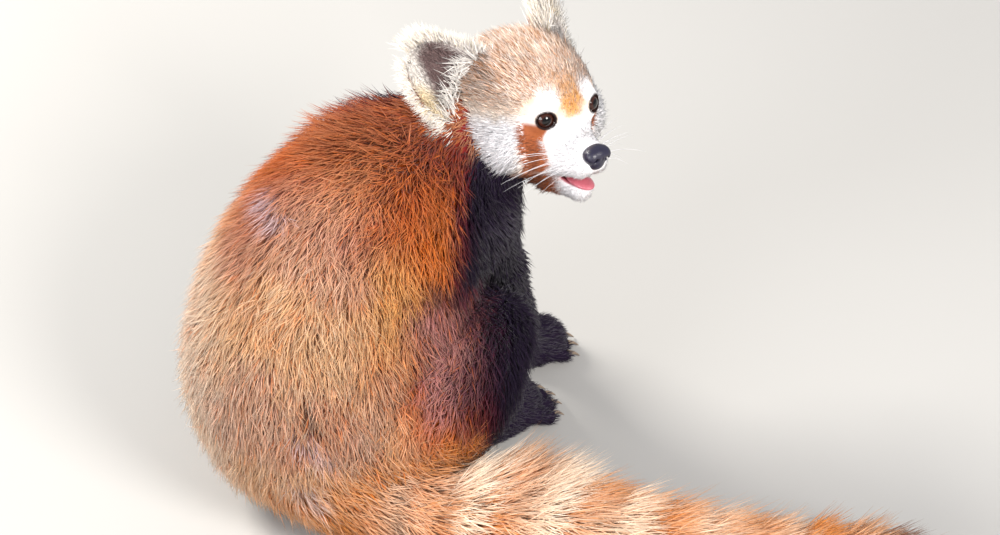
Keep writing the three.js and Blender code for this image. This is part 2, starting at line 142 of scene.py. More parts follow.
def slope(field, points, step=1.0):
    """The way out of the form at each point."""
    points = points.astype(np.float32)
    parts = []
    for axis in range(3):
        shift = np.zeros(3, np.float32)
        shift[axis] = step
        parts.append(field(points + shift) - field(points - shift))
    out = np.stack(parts, axis=-1)
    return out / np.maximum(np.linalg.norm(out, axis=-1, keepdims=True), 1e-6)


GRID_BAND = 3
SETTLING_PASSES = 2


def outwards(points, faces):
    """The faces of a closed mesh, turned so that they point outwards."""
    corners = points[faces[:, :3]]
    volume = np.einsum("ij,ij->", corners[:, 0], np.cross(corners[:, 1], corners[:, 2]))
    return faces if volume > 0 else faces[:, ::-1]


def surface(field, low, high, step):
    """Closed surface of a form inside a box, as points in millimetres and four-sided faces."""
    axes = [np.arange(a, b + step, step, dtype=np.float32) for a, b in zip(low, high)]
    values = np.empty([len(a) for a in axes], np.float32)
    flat = np.stack(np.meshgrid(axes[1], axes[2], indexing="ij"), axis=-1)
    for i, x in enumerate(axes[0]):
        slab = np.concatenate([np.full(flat.shape[:2] + (1,), x, np.float32), flat], axis=-1)
        values[i] = field(slab.reshape(-1, 3)).reshape(flat.shape[:2])
    grid = openvdb.FloatGrid(float(step))
    grid.copyFromArray(np.clip(values / step, -GRID_BAND, GRID_BAND))
    points, faces = grid.convertToQuads(isovalue=0.0)
    points = (points * step + np.array(low, np.float32)).astype(np.float32)
    for _ in range(SETTLING_PASSES):
        off = field(points)[:, None]
        points -= np.clip(off, -step, step) * slope(field, points, 0.5 * step)
    return points, outwards(points, faces)


LEFT, RIGHT = 1, -1
WITHERS = (50, 96, 202)
NECK_TOP = (114, 121, 256)
PELVIS, LOIN, CHEST = way(62), way(52, 25), way(40, 40)
trunk = blend(
    42,
    egg((-9, -3, 90), PELVIS, 104, 109, 100),
    egg((-15, 12, 146), LOIN, 102, 94, 97),
    egg((8, 44, 170), LOIN, 94, 88, 90),
    egg((24, 70, 182), CHEST, 86, 75, 80),
    limb(WITHERS, NECK_TOP, 64, 40),
    limb((106, 108, 224), (101, 98, 172), 31, 29),
)

SHOULDER = {LEFT: (30, 126, 180), RIGHT: (88, 70, 186)}
ELBOW = {LEFT: (66, 164, 112), RIGHT: (108, 98, 122)}
WRIST = {LEFT: (84, 178, 42), RIGHT: (127, 134, 42)}
HIP = {LEFT: (-34, 38, 80), RIGHT: (50, -42, 96)}
KNEE = {LEFT: (-40, 120, 84), RIGHT: (106, 38, 106)}
ANKLE = {LEFT: (-44, 82, 26), RIGHT: (87, 38, 32)}
FOREPAW = {LEFT: way(20), RIGHT: way(32)}
HIND_FOOT = {LEFT: way(84), RIGHT: way(36)}
THIGH = {LEFT: way(88, 4), RIGHT: way(46, 16)}
FOREPAW_SIZES = {"length": 66, "wide": 48, "tall": 22, "back": 18, "toe": 7.5}
HIND_FOOT_SIZES = {"length": 106, "wide": 50, "tall": 29, "back": 24, "toe": 9}
TOE_SPACING = 0.21
TOE_ARC = 2.2
LEG_COAT = 7.0
FOOT_COAT = 3.0
BODY_COAT = 11.0


def on_foot(joint, turned, forward, left, up):
    """A point by its way forward and left of the joint and up from the floor."""
    return np.array([joint[0], joint[1], 0.0]) + np.array([forward, left, up]) @ turned


def toe_tips(length, wide, back, toe, **_):
    """How far aside and forward each of the five toes ends, in an arc."""
    return [
        (place * wide * TOE_SPACING, length - back - toe - TOE_ARC * place**2)
        for place in range(-2, 3)
    ]


def foot(joint, turned, sizes, depth):
    """A pad with five toes across its front, from the floor below its joint."""
    length, wide, tall, back, toe = (sizes[k] for k in ("length", "wide", "tall", "back", "toe"))

    def on(*place):
        return on_foot(joint, turned, *place)

    front = length - back
    toes = [
        limb(
            on(reach - 2.4 * toe, aside * 0.8, tall * 0.6),
            on(reach, aside * 1.06, toe * 0.9),
            toe * 1.1 - depth,
            toe - depth,
        )
        for aside, reach in toe_tips(**sizes)
    ]
    heel, instep = on(tall - back, 0, tall * 0.8), on(front * 0.5, 0, tall * 0.65)
    halves = (length * 0.36 - depth, wide * 0.46 - depth, tall * 0.7 - depth)
    pad = blend(
        14,
        limb(heel, instep, tall - depth, tall * 0.85 - depth),
        egg(on(front * 0.4, 0, tall * 0.5), turned, *halves),
    )
    return blend(3, pad, *toes)


def thigh(side, depth):
    """A full round thigh from hip to knee, smaller by the depth."""
    hip, knee = HIP[side], KNEE[side]
    return blend(
        20,
        egg(between(hip, knee, 0.42), THIGH[side], 70 - depth, 55 - depth, 60 - depth),
        limb(hip, knee, 58 - depth, 38 - depth),
    )


# The tail's middle line from root to tip, and the radius of its coat at each of these places.
TAIL_STOPS = np.array(
    [
        (10, -60, 50), (60, -96, 50), (115, -110, 50), (165, -128, 48),
        (225, -148, 45), (295, -158, 41), (360, -156, 37), (404, -152, 32),
    ],
    np.float32,
)
TAIL_RADII = np.array([46, 52, 53, 52, 50, 46, 42, 34], np.float32)
TAIL_CORE = 0.5
TAIL_STEPS = 57
CORE_STRIDE = 4


def tail_line(steps=TAIL_STEPS):
    """Points along the tail by Catmull and Rom's rule, with the coat's radius at each."""
    ends = [2 * TAIL_STOPS[0] - TAIL_STOPS[1], *TAIL_STOPS, 2 * TAIL_STOPS[-1] - TAIL_STOPS[-2]]
    stops = np.array(ends)
    share = np.linspace(0, len(TAIL_STOPS) - 1.0001, steps)
    piece, t = share.astype(int), (share % 1)[:, None]
    a, b, c, d = (stops[piece + k] for k in range(4))
    line = 0.5 * (
        2 * b + (c - a) * t + (2 * a - 5 * b + 4 * c - d) * t**2 + (3 * b - a - 3 * c + d) * t**3
    )
    return line, np.interp(share, np.arange(len(TAIL_RADII)), TAIL_RADII)


tail_points, tail_radii = tail_line()
core_steps = range(0, TAIL_STEPS, CORE_STRIDE)
tail_core = blend(
    8,
    *[
        limb(tail_points[a], tail_points[b], TAIL_CORE * tail_radii[a], TAIL_CORE * tail_radii[b])
        for a, b in zip(core_steps, core_steps[1:])
    ],
)

PARTS = {"trunk": deeper(trunk, BODY_COAT), "tail": tail_core}
for side, name in ((RIGHT, "right"), (LEFT, "left")):
    PARTS[f"thigh_{name}"] = thigh(side, BODY_COAT - 3)
    PARTS[f"shin_{name}"] = limb(KNEE[side], ANKLE[side], 34 - LEG_COAT, 24 - LEG_COAT)
    PARTS[f"hind_{name}"] = foot(ANKLE[side], HIND_FOOT[side], HIND_FOOT_SIZES, FOOT_COAT)
    PARTS[f"upper_{name}"] = limb(SHOULDER[side], ELBOW[side], 42 - LEG_COAT, 28 - LEG_COAT)
    PARTS[f"fore_{name}"] = limb(ELBOW[side], WRIST[side], 28 - LEG_COAT, 21 - LEG_COAT)
    PARTS[f"paw_{name}"] = foot(WRIST[side], FOREPAW[side], FOREPAW_SIZES, FOOT_COAT)

rump = blend(46, PARTS["trunk"], PARTS["tail"])
body_field = on_floor(blend(12, rump, *list(PARTS.values())[2:]))
BODY_LOW, BODY_HIGH = (-130, -190, -8), (430, 250, 290)
BODY_STEP = 3.2
body_points, body_faces = surface(body_field, BODY_LOW, BODY_HIGH, BODY_STEP)


def ramp(value, start, end):
    """Smoothly from 0 at the start to 1 at the end."""
    share = np.clip((value - start) / (end - start), 0, 1)
    return share * share * (3 - 2 * share)


def linear(code):
    """Linear colour from an sRGB hex code."""
    parts = np.array([int(code[i : i + 2], 16) for i in (1, 3, 5)]) / 255
    return np.where(parts <= 0.04045, parts / 12.92, ((parts + 0.055) / 1.055) ** 2.4)


def stained(base, other, amount):
    return base * (1 - amount[..., None]) + other * amount[..., None]


def all_over(colour, points):
    """The same colour, or the same way, at each of the points."""
    return np.repeat(colour[None], len(points), axis=0)


WAVES = np.random.default_rng(5).normal(size=(18, 3))
WAVE_TURNS = np.random.default_rng(6).uniform(0, 6.28, 18)


def clouds(points, size):
    """Slow random variation, about -1 to 1, that changes over the given size."""
    waves = np.sin(points @ (WAVES.T * (2.2 / size)) + WAVE_TURNS)
    return waves.sum(axis=-1) / 4.2


PELAGE = {
    "rust": linear("#b0501a"),
    "umber": linear("#9c5c3e"),
    "russet": linear("#b4684e"),
    "orange": linear("#d06a16"),
    "gold": linear("#eab068"),
    "tan": linear("#e2b48a"),
    "pink": linear("#bc897e"),
    "mauve": linear("#a46c72"),
    "plum": linear("#642c3c"),
    "maroon": linear("#7a1c1e"),
    "black": linear("#190b24"),
    "cream": linear("#f1e0cc"),
    "tail_light": linear("#f9e6ce"),
    "tail_dark": linear("#cf7d2e"),
    "tail_tip": linear("#5a2c1e"),
    "ruff": linear("#c88a64"),
}
# The ways to the belly and to the animal's right, level with the floor.
BELLY_WAY = np.array([0.62, 0.78, 0.0])
SIDE_WAY = np.array([0.78, -0.62, 0.0])
# How pale the tail is, from 0 to 1, at each way along it.
TAIL_BANDS = [
    (-40, 0.0), (10, 0.0), (40, 0.1), (68, 0.5), (86, 0.1), (107, 0.95), (130, 0.0), (159, 0.95),
    (181, 0.0), (205, 0.85), (233, 0.0), (263, 0.75), (292, 0.0), (320, 0.5), (350, 0.0),
    (372, 0.25),
]


def tail_share(points):
    """Which step of the tail's line is nearest, and how far off it is."""
    away = np.linalg.norm(points[:, None, :] - tail_points[None, :, :], axis=-1)
    nearest = away.argmin(axis=1)
    return nearest, away[np.arange(len(points)), nearest]


def backness(points):
    """1 where the coat is pale, on the back and rump, and 0 on the flanks and withers."""
    belly, sideways = points @ BELLY_WAY, np.abs(points @ SIDE_WAY)
    high = 34 * ramp(points[:, 2], 236, 260)
    return ramp(belly + 0.3 * sideways - high + 10 * clouds(points, 70), 20, -50)


def body_colours(points):
    """Markings of the trunk and legs: tan back, orange flank, maroon edge and black limbs, and
    painted shade in the fold above the thigh.
    """
    belly = points @ BELLY_WAY
    sideways = np.abs(points @ SIDE_WAY)
    height = points[:, 2]
    colours = all_over(PELAGE["rust"], points)
    flank = ramp(height, 150, 190) * ramp(height, 262, 225) * ramp(belly + 0.5 * sideways, 20, 58)
    low = ramp(height, 165, 125) * ramp(belly + 0.6 * sideways, -36, 14)
    low = np.maximum(low, 0.7 * ramp(height, 118, 80) * ramp(belly + 0.6 * sideways, -90, -30))
    colours = stained(colours, PELAGE["orange"], 0.9 * np.maximum(flank, low))
    gold = ramp(belly + 0.3 * sideways, 56, 14) * ramp(height, 248, 226) * ramp(height, 150, 185)
    colours = stained(colours, PELAGE["gold"], 0.72 * gold)
    withers = ramp(height, 254, 272) * ramp(belly, 8, 44)
    colours = stained(colours, PELAGE["umber"], 0.75 * withers)
    colours = stained(colours, PELAGE["tan"], 0.85 * backness(points))
    dull = ramp(clouds(points + 200, 40), -0.2, 0.8)
    dull = np.maximum(dull, ramp(height, 226, 246)) * ramp(belly - 0.4 * (height - 200), 12, -36)
    colours = stained(colours, PELAGE["pink"], 0.56 * dull)
    edge = ramp(height, 196, 226) * ramp(points[:, 0], -44, -66)
    colours = stained(colours, PELAGE["russet"], 0.6 * edge)
    warm = ramp(clouds(points - 300, 46), -0.1, 0.8) * ramp(height, 230, 150)
    colours = stained(colours, PELAGE["orange"], 0.42 * warm)
    nape = ramp(belly + 0.3 * (height - 200), 84, 110) * ramp(height, 195, 225)
    nape = nape * ramp(height, 284, 260)
    colours = stained(colours, PELAGE["maroon"], 0.8 * nape)
    round_front = belly + 1.05 * sideways + 5 * clouds(points, 30)
    front = round_front - 0.25 * np.maximum(height - 200, 0) - np.maximum(height - 258, 0)
    crease_height = 210 - 0.41 * np.maximum(round_front - 85, 0)
    thigh_zone = ramp(height, crease_height, crease_height - 16)
    upper = ramp(height, 112, 136)
    mauve = thigh_zone * upper * ramp(front, 58, 94)
    colours = stained(colours, PELAGE["mauve"], 0.85 * mauve)
    deep = stained(all_over(PELAGE["maroon"], points), PELAGE["plum"], thigh_zone * upper)
    share = ramp(front, 108 - 4 * thigh_zone, 130 + 4 * thigh_zone)
    colours = colours * (1 - share[:, None]) + deep * share[:, None]
    # Painted shade: a dark plum line along the fold between the flank and the thigh.
    crease_shade = ramp(np.abs(height - crease_height + 3), 12, 3) * ramp(round_front, 76, 98)
    colours = stained(colours, 0.6 * PELAGE["plum"], 0.85 * crease_shade * ramp(round_front, 150, 130))
    legs = np.minimum.reduce(
        [
            PARTS[f"{part}_{name}"](points) + above * np.maximum(height - 70, 0)
            for name in ("right", "left")
            for part, above in (("shin", 0.6), ("hind", 0), ("fore", 0), ("paw", 0))
        ]
    )
    arms = np.minimum(PARTS["upper_right"](points), PARTS["upper_left"](points))
    dark = ramp(front, 121 + 9 * thigh_zone, 146 + 36 * thigh_zone)
    dark = np.maximum(dark, np.maximum(ramp(legs, 17, 6), ramp(arms, 9, 0)))
    colours = stained(colours, PELAGE["black"], dark)
    by_tail = ramp(PARTS["tail"](points), 62, 20) * ramp(points[:, 0], 116, 84)
    colours = stained(colours, PELAGE["tail_dark"], 0.9 * by_tail * ramp(height, 128, 100))
    return colours


def tail_colours(points):
    """Rings of pale and reddish hair along the tail, with a dark tip."""
    nearest, _ = tail_share(points)
    along = tail_points[nearest, 0] + 5 * clouds(points, 30)
    stops, levels = zip(*TAIL_BANDS)
    light = np.interp(along, stops, levels)
    colours = stained(all_over(PELAGE["tail_dark"], points), PELAGE["tail_light"], light)
    return stained(colours, PELAGE["tail_tip"], 0.9 * ramp(along, 376, 406))


def on_tail(points):
    """1 on the tail and 0 on the body."""
    trunk_off = np.minimum(PARTS["trunk"](points), PARTS["thigh_right"](points))
    return ramp(trunk_off - PARTS["tail"](points), -14, 10)


def skin_colours(points):
    """Markings of the whole body, run together at the root of the tail."""
    tail = on_tail(points)[:, None]
    return body_colours(points) * (1 - tail) + tail_colours(points) * tail


def add_node(tree, kind, settings=None, inputs=None):
    """A node with its settings, and its inputs as values or as the sockets that feed them."""
    made = tree.nodes.new(kind)
    for name, value in (settings or {}).items():
        setattr(made, name, value)
    for socket, value in (inputs or {}).items():
        if isinstance(value, bpy.types.NodeSocket):
            tree.links.new(value, made.inputs[socket])
        else:
            made.inputs[socket].default_value = value
    return made


def new_material(name):
    material = bpy.data.materials.new(name)
    material.use_nodes = True
    material.node_tree.nodes.clear()
    return material, material.node_tree


# Tanned hide, dyed as the coat over it: matt, with pores and fine creases about 2 mm apart.
hide, tree = new_material("dyed_tanned_hide")
dye = add_node(tree, "ShaderNodeVertexColor", {"layer_name": "markings"})
place = add_node(tree, "ShaderNodeTexCoord")
grain = add_node(
    tree,
    "ShaderNodeTexNoise",
    inputs={"Vector": place.outputs["Object"], "Scale": 500.0, "Detail": 4.0},
)
relief = add_node(
    tree,
    "ShaderNodeBump",
    inputs={"Strength": 0.5, "Distance": 0.001, "Height": grain.outputs["Fac"]},
)
shader = add_node(
    tree,
    "ShaderNodeBsdfPrincipled",
    inputs={
        "Base Color": dye.outputs["Color"],
        "Roughness": 0.85,
        "Specular IOR Level": 0.2,
        "Normal": relief.outputs["Normal"],
    },
)
add_node(tree, "ShaderNodeOutputMaterial", inputs={"Surface": shader.outputs["BSDF"]})


def piece(name, points, faces, material, colours=None):
    """A mesh object from points in millimetres, with its colours at its points."""
    mesh = bpy.data.meshes.new(name)
    sides = faces.shape[1]
    mesh.vertices.add(len(points))
    mesh.vertices.foreach_set("co", (points * 0.001).astype(np.float32).ravel())
    mesh.loops.add(faces.size)
    mesh.loops.foreach_set("vertex_index", np.ascontiguousarray(faces, np.int32).ravel())
    mesh.polygons.add(len(faces))
    mesh.polygons.foreach_set("loop_start", np.arange(len(faces), dtype=np.int32) * sides)
    mesh.polygons.foreach_set("use_smooth", np.ones(len(faces), bool))
    mesh.update(calc_edges=True)
    if colours is not None:
        layer = mesh.color_attributes.new("markings", "FLOAT_COLOR", "POINT")
        values = np.ones((len(points), 4), np.float32)
        values[:, :3] = colours
        layer.data.foreach_set("color", values.ravel())
    mesh.materials.append(material)
    made = bpy.data.objects.new(name, mesh)
    bpy.context.scene.collection.objects.link(made)
    return made


skin_body = piece("skin_body", body_points, body_faces, hide, skin_colours(body_points))
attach(skin_body, "root")
limb_nodes = [
    f"{part}_{name}"
    for name in ("right", "left")
    for part in ("thigh", "shin", "hind_foot", "upper_arm", "forearm", "forepaw")
]
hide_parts("torso", "neck", "tail_root", "tail_middle", "tail_tip", *limb_nodes)

# Skin of the head
# Thin hide over the skull, with lids round the eyes, a short muzzle and an open mouth.
# The brow, cheeks and jaw are full under a coat that is shortest on the muzzle.

HEAD_TURN, HEAD_RISE, HEAD_LEAN = -51, 13, -5.7
HEAD = way(HEAD_TURN, HEAD_RISE, HEAD_LEAN)
EYES_MIDDLE = np.array([167.0, 82.0, 276.0])


def on_head(forward, left, up):
    """A point by its way forward, left and up from between the eyes."""
    return EYES_MIDDLE + np.array([forward, left, up]) @ HEAD


def pair(form):
    """The same for the left and the right side."""
    return [form(LEFT), form(RIGHT)]


EYE_SPACING = 39
EYE_RADIUS = 9.0
EYE_DEPTH = 9.0
EYE_TURN = 22


def eye_middle(side):
    return on_head(-EYE_DEPTH, side * EYE_SPACING / 2, 0)


def eye_way(side):
    return way(HEAD_TURN + side * EYE_TURN, HEAD_RISE, HEAD_LEAN)


head_form = blend(
    12,
    blend(
        18,
        egg(on_head(-60, 0, 0), HEAD, 54, 54, 47),
        egg(on_head(-24, 0, 1), HEAD, 27, 33, 31),
        *pair(lambda side: egg(on_head(-56, side * 33, -25), HEAD, 36, 31, 32)),
        *pair(lambda side: egg(on_head(-30, side * 17, -40), HEAD, 17, 13, 12)),
    ),
    blend(
        7,
        limb(on_head(-16, 0, -20), on_head(17, 0, -28), 21, 13),
        *pair(
            lambda side: limb(on_head(-10, side * 12, -34), on_head(15, side * 7.5, -36), 14, 9.5)
        ),
    ),
    limb(on_head(-36, 0, -52), on_head(4, 0, -58.5), 17, 10),
)


def head_place(points):
    """Forward, left and up of each point from between the eyes."""
    local = (points - EYES_MIDDLE) @ HEAD.T
    return local[..., 0], local[..., 1], local[..., 2]


def head_coat(points):
    """How thick the coat lies on the head."""
    forward, left, up = head_place(points)
    depth = 1.6 + 4.4 * ramp(forward, 0, -45)
    cheek = ramp(np.abs(left), 18, 40) * ramp(up, 0, -22) * ramp(forward, -22, -50)
    return depth + 5 * cheek


def lid_opening(side):
    """The almond form that parts the lids of an eye."""
    turned = eye_way(side)
    middle = eye_middle(side) + np.array([9.0, 0, 0]) @ turned
    return egg(middle, turned, 12, 6.6, 5.5)


bare_head = blend(
    5,
    lambda points: head_form(points) + head_coat(points),
    *pair(lambda side: egg(eye_middle(side), HEAD, *(EYE_RADIUS + 1.5,) * 3)),
)
MOUTH = egg(on_head(8, 0, -48), HEAD, 20, 11.5, 5.3)
head_field = carved(2.5, bare_head, MOUTH)
for side in (LEFT, RIGHT):
    head_field = carved(1.2, head_field, lid_opening(side))
HEAD_STEP = 1.15
head_low = EYES_MIDDLE - np.array([90, 70, 85])
head_high = EYES_MIDDLE + np.array([70, 75, 65])
head_points, head_faces = surface(head_field, head_low, head_high, HEAD_STEP)

FACE = {
    "cream": linear("#f4e4d4"),
    "white": linear("#f7f5f6"),
    "ticking": linear("#c68e60"),
    "orange": linear("#dc9a48"),
    "tear": linear("#aa5418"),
    "dark": linear("#231413"),
    "brown": linear("#a4662c"),
    "lip": linear("#b8606a"),
    "mouth": linear("#7c3038"),
    "nape": linear("#8c3c1c"),
}


def face_colours(points):
    """Markings of the face: white brows, cheeks and muzzle, orange crown and tear stripes."""
    forward, left, up = head_place(points)
    aside = np.abs(left)
    ragged = clouds(points, 7)
    colours = all_over(FACE["cream"], points)
    crown = ramp(up - 0.12 * aside, -6, 12)
    # Painted light: the ticking thins towards the head's left, which is painted paler as if in
    # full light.
    painted_sunlight = 1 - 0.45 * ramp(left, 0, 26)
    ticking = crown * painted_sunlight * (0.58 + 0.2 * clouds(points, 14))
    colours = stained(colours, FACE["ticking"], ticking)
    middle = ramp(aside + 2.5 * ragged, 13, 4) * ramp(up, -6, 2) * ramp(up + 3 * ragged, 30, 10)
    colours = stained(colours, FACE["orange"], 0.85 * middle)
    brow_off = np.hypot(
        ((aside - 19) * 0.8 - (up - 12) * 0.6) / 10, ((aside - 19) * 0.6 + (up - 12) * 0.8) / 5.8
    )
    colours = stained(colours, FACE["white"], ramp(brow_off + 0.16 * ragged, 1.55, 0.7))
    cheek = ramp(aside, 26, 34) * ramp(up + 0.1 * aside + 3 * ragged, 9, -4)
    colours = stained(colours, FACE["white"], cheek)
    muzzle = ramp(forward, -14, -6) * ramp(up, 0, -6) * ramp(aside, 26, 20)
    colours = stained(colours, FACE["white"], muzzle)
    below = np.clip(-8 - up, 0, 60)
    stripe_off = np.abs(aside - 28 + 0.1 * below) / (5.6 - 0.08 * below)
    stripe = ramp(stripe_off + 0.06 * ragged, 1.2, 0.85) * ramp(up, 0, -5) * ramp(up, -48, -40)
    colours = stained(colours, FACE["tear"], 0.95 * stripe)
    under = ramp(up + 2 * ragged, -39, -46) * ramp(forward, -3, -10) * ramp(aside, 31, 25)
    colours = stained(colours, FACE["tear"], under)
    return stained(colours, FACE["nape"], ramp(forward, -82, -98))


def head_skin_colours(points):
    colours = face_colours(points)
    for side in (LEFT, RIGHT):
        rim = np.abs(lid_opening(side)(points))
        near = ramp(np.linalg.norm(points - eye_middle(side), axis=-1), 15, 12)
        colours = stained(colours, FACE["dark"], near * ramp(rim, 2.4, 1.3))
    lip = MOUTH(points)
    colours = stained(colours, FACE["lip"], ramp(lip, 2.6, 0.8))
    return stained(colours, FACE["mouth"], ramp(lip, 0.6, -0.5))


skin_head = piece("skin_head", head_points, head_faces, hide, head_skin_colours(head_points))
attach(skin_head, "root")
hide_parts("head")

# Eyes
# Glass eyes, set in the lids: a dark brown iris round a black pupil, under a clear bulge.
# Each is one ball, painted behind and polished in front.

EYE_BULGE = 0.7
EYE_AROUND = 64
EYE_ALONG = 48
IRIS = {
    "pupil": linear("#050405"),
    "iris": linear("#3c1c12"),
    "edge": linear("#120a0a"),
    "white": linear("#4a3a36"),
}

glass, tree = new_material("polished_glass_eye")
paint = add_node(tree, "ShaderNodeVertexColor", {"layer_name": "markings"})
shader = add_node(
    tree,
    "ShaderNodeBsdfPrincipled",
    inputs={
        "Base Color": paint.outputs["Color"],
        "Roughness": 0.05,
        "IOR": 1.4,
        "Coat Weight": 0.3,
        "Coat Roughness": 0.02,
    },
)
add_node(tree, "ShaderNodeOutputMaterial", inputs={"Surface": shader.outputs["BSDF"]})


def ball(middle, turned, radius, bulge):
    """A ball whose front stands out a little, and the angle of each point from its front."""
    turns = np.linspace(0, 2 * math.pi, EYE_AROUND, endpoint=False)
    angles = np.linspace(0, math.pi, EYE_ALONG)
    angle, turn = np.meshgrid(angles[1:-1], turns, indexing="ij")
    angle, turn = angle.ravel(), turn.ravel()
    angle = np.concatenate([[0.0], angle, [math.pi]])
    turn = np.concatenate([[0.0], turn, [0.0]])
    size = radius + bulge * ramp(angle, 0.75, 0.1)
    local = np.stack(
        [np.cos(angle), np.sin(angle) * np.cos(turn), np.sin(angle) * np.sin(turn)], axis=-1
    )
    points = middle + (local * size[:, None]) @ turned
    ring = np.arange(EYE_AROUND)
    after = (ring + 1) % EYE_AROUND
    rows = []
    for row in range(EYE_ALONG - 3):
        here, there = 1 + row * EYE_AROUND, 1 + (row + 1) * EYE_AROUND
        rows.append(np.stack([here + ring, there + ring, there + after], axis=-1))
        rows.append(np.stack([here + ring, there + after, here + after], axis=-1))
    rows.append(np.stack([np.zeros_like(ring), 1 + ring, 1 + after], axis=-1))
    last = 1 + (EYE_ALONG - 3) * EYE_AROUND
    rows.append(np.stack([np.full_like(ring, len(angle) - 1), last + after, last + ring], axis=-1))
    return points, np.concatenate(rows), angle, turn


for side, name in ((LEFT, "left"), (RIGHT, "right")):
    points, faces, angle, turn = ball(eye_middle(side), eye_way(side), EYE_RADIUS, EYE_BULGE)
    colours = all_over(IRIS["white"], points)
    colours = stained(colours, IRIS["edge"], ramp(angle, 0.95, 0.8))
    streaks = 0.5 + 0.5 * np.sin(turn * 23 + 2 * np.sin(turn * 7))
    colours = stained(colours, IRIS["iris"] * 1.2, ramp(angle, 0.8, 0.6) * (0.6 + 0.4 * streaks))
    colours = stained(colours, IRIS["pupil"], ramp(angle, 0.42, 0.34))
    eye = piece(f"glass_eye_{name}", points, faces, glass, colours)
    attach(eye, "root")
    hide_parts(f"eye_{name}")

# Nose
# Bare black leather with two comma-shaped nostrils and a groove down its middle.
# It is moist and slightly glossy, and pebbled by bumps about 0.8 mm across.


def pebbled_skin(name, scale, strength, distance, tones, gloss):
    """Bare wet skin with fine bumps, so many to a metre, in one tone on them and one between."""
    skin, tree = new_material(name)
    place = add_node(tree, "ShaderNodeTexCoord")
    bumps = add_node(
        tree,
        "ShaderNodeTexVoronoi",
        inputs={"Vector": place.outputs["Object"], "Scale": scale},
    )
    relief = add_node(
        tree,
        "ShaderNodeBump",
        {"invert": True},
        {"Strength": strength, "Distance": distance, "Height": bumps.outputs["Distance"]},
    )
    top, gap = ((*linear(tone), 1.0) for tone in tones)
    tint = add_node(
        tree,
        "ShaderNodeMix",
        {"data_type": "RGBA"},
        {0: bumps.outputs["Distance"], 6: top, 7: gap},
    )
    shader = add_node(
        tree,
        "ShaderNodeBsdfPrincipled",
        inputs={"Base Color": tint.outputs[2], "Normal": relief.outputs["Normal"], **gloss},
    )
    add_node(tree, "ShaderNodeOutputMaterial", inputs={"Surface": shader.outputs["BSDF"]})
    return skin


leather = pebbled_skin(
    "moist_nose_leather",
    1250.0,
    0.35,
    0.0004,
    ("#2b2744", "#12101e"),
    {"Roughness": 0.38, "Specular IOR Level": 0.6, "Coat Weight": 0.25, "Coat Roughness": 0.25},
)

nose_field = blend(
    3,
    egg(on_head(25, 0, -24.5), HEAD, 8.5, 10, 6.5),
    egg(on_head(24, 0, -29.5), HEAD, 7, 7.5, 8),
    *pair(lambda side: egg(on_head(27, side * 6.2, -25.5), HEAD, 5.5, 4.2, 4.6)),
)
for side in (LEFT, RIGHT):
    hole = blend(
        1.5,
        egg(on_head(32.0, side * 4.6, -27.4), HEAD, 3.6, 1.7, 1.7),
        limb(on_head(31, side * 5.4, -28.2), on_head(27, side * 9.6, -30.0), 0.9, 0.6),
    )
    nose_field = carved(0.8, nose_field, hole)
groove = limb(on_head(33.6, 0, -26), on_head(31, 0, -37), 0.7, 0.9)
nose_field = carved(0.8, nose_field, groove)
NOSE_MIDDLE = on_head(25, 0, -28)
NOSE_ROOM = 18
NOSE_STEP = 0.4
nose_points, nose_faces = surface(
    nose_field, NOSE_MIDDLE - NOSE_ROOM, NOSE_MIDDLE + NOSE_ROOM, NOSE_STEP
)
nose = piece("nose_leather", nose_points, nose_faces, leather)
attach(nose, "root")
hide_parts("nose")

# Tongue
# Soft pink flesh that lies in the lower jaw, wet, with a groove down its middle.
# Its top is covered with fine bumps about 0.5 mm across.

flesh = pebbled_skin(
    "wet_tongue_flesh",
    1800.0,
    0.4,
    0.0003,
    ("#dc7f8a", "#a84a58"),
    {"Roughness": 0.3, "Coat Weight": 0.4, "Coat Roughness": 0.15},
)

TONGUE_WAY = way(HEAD_TURN, -1, HEAD_LEAN)
TONGUE_MIDDLE = on_head(5, 0, -51.6)
TONGUE_ROOM = 18
TONGUE_STEP = 0.45
tongue_field = carved(
    1.2,
    egg(TONGUE_MIDDLE, TONGUE_WAY, 13.5, 8, 3.4),
    limb(on_head(-4, 0, -47.2), on_head(20, 0, -48.4), 0.8, 0.6),
)
tongue_points, tongue_faces = surface(
    tongue_field, TONGUE_MIDDLE - TONGUE_ROOM, TONGUE_MIDDLE + TONGUE_ROOM, TONGUE_STEP
)
tongue = piece("tongue_flesh", tongue_points, tongue_faces, flesh)
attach(tongue, "root")
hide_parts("tongue")

# Ears
# Thin leaves of gristle and hide, cupped to one side, that stand out from the sides of the crown.
# The hollow is dusky, with painted shade deep in it, and thinly haired, and both edges carry a
# long pale fringe.

EAR_SINK = 12.0
EAR_HALF_WIDTH = 30.0
EAR_DEPTH = 17.0
EAR_WALL = 4.0
EAR_INSET = 3.0
EAR_ALONG = 34
EAR_ACROSS = 30


def head_way(forward, left, up):
    aim = np.array([forward, left, up], float) @ HEAD
    return aim / np.linalg.norm(aim)


EARS = {
    LEFT: (on_head(-61, 41, 20), on_head(-108, 60, 65), head_way(-0.12, -0.4, 0.9)),
    RIGHT: (on_head(-61, -45, 11), on_head(-76, -88, 48), head_way(0.1, -0.55, -0.82)),
}
EAR_COLOURS = {
    "hollow": linear("#7c6664"),
    "pale": linear("#f7f1ea"),
    "yellow": linear("#e9d2a0"),
    "back": linear("#8c3f22"),
}


def ear_form(side):
    """Root, way up, way that it opens, way across and length of an ear."""
    root, tip, across = EARS[side]
    rise = tip - root
    length = np.linalg.norm(rise) + EAR_SINK
    rise = rise / np.linalg.norm(rise)
    facing = np.cross(rise, across)
    facing /= np.linalg.norm(facing)
    return root, rise, facing, across, length


def ear_taper(share):
    return np.sqrt(np.maximum(1.02 - share**3, 0.0))


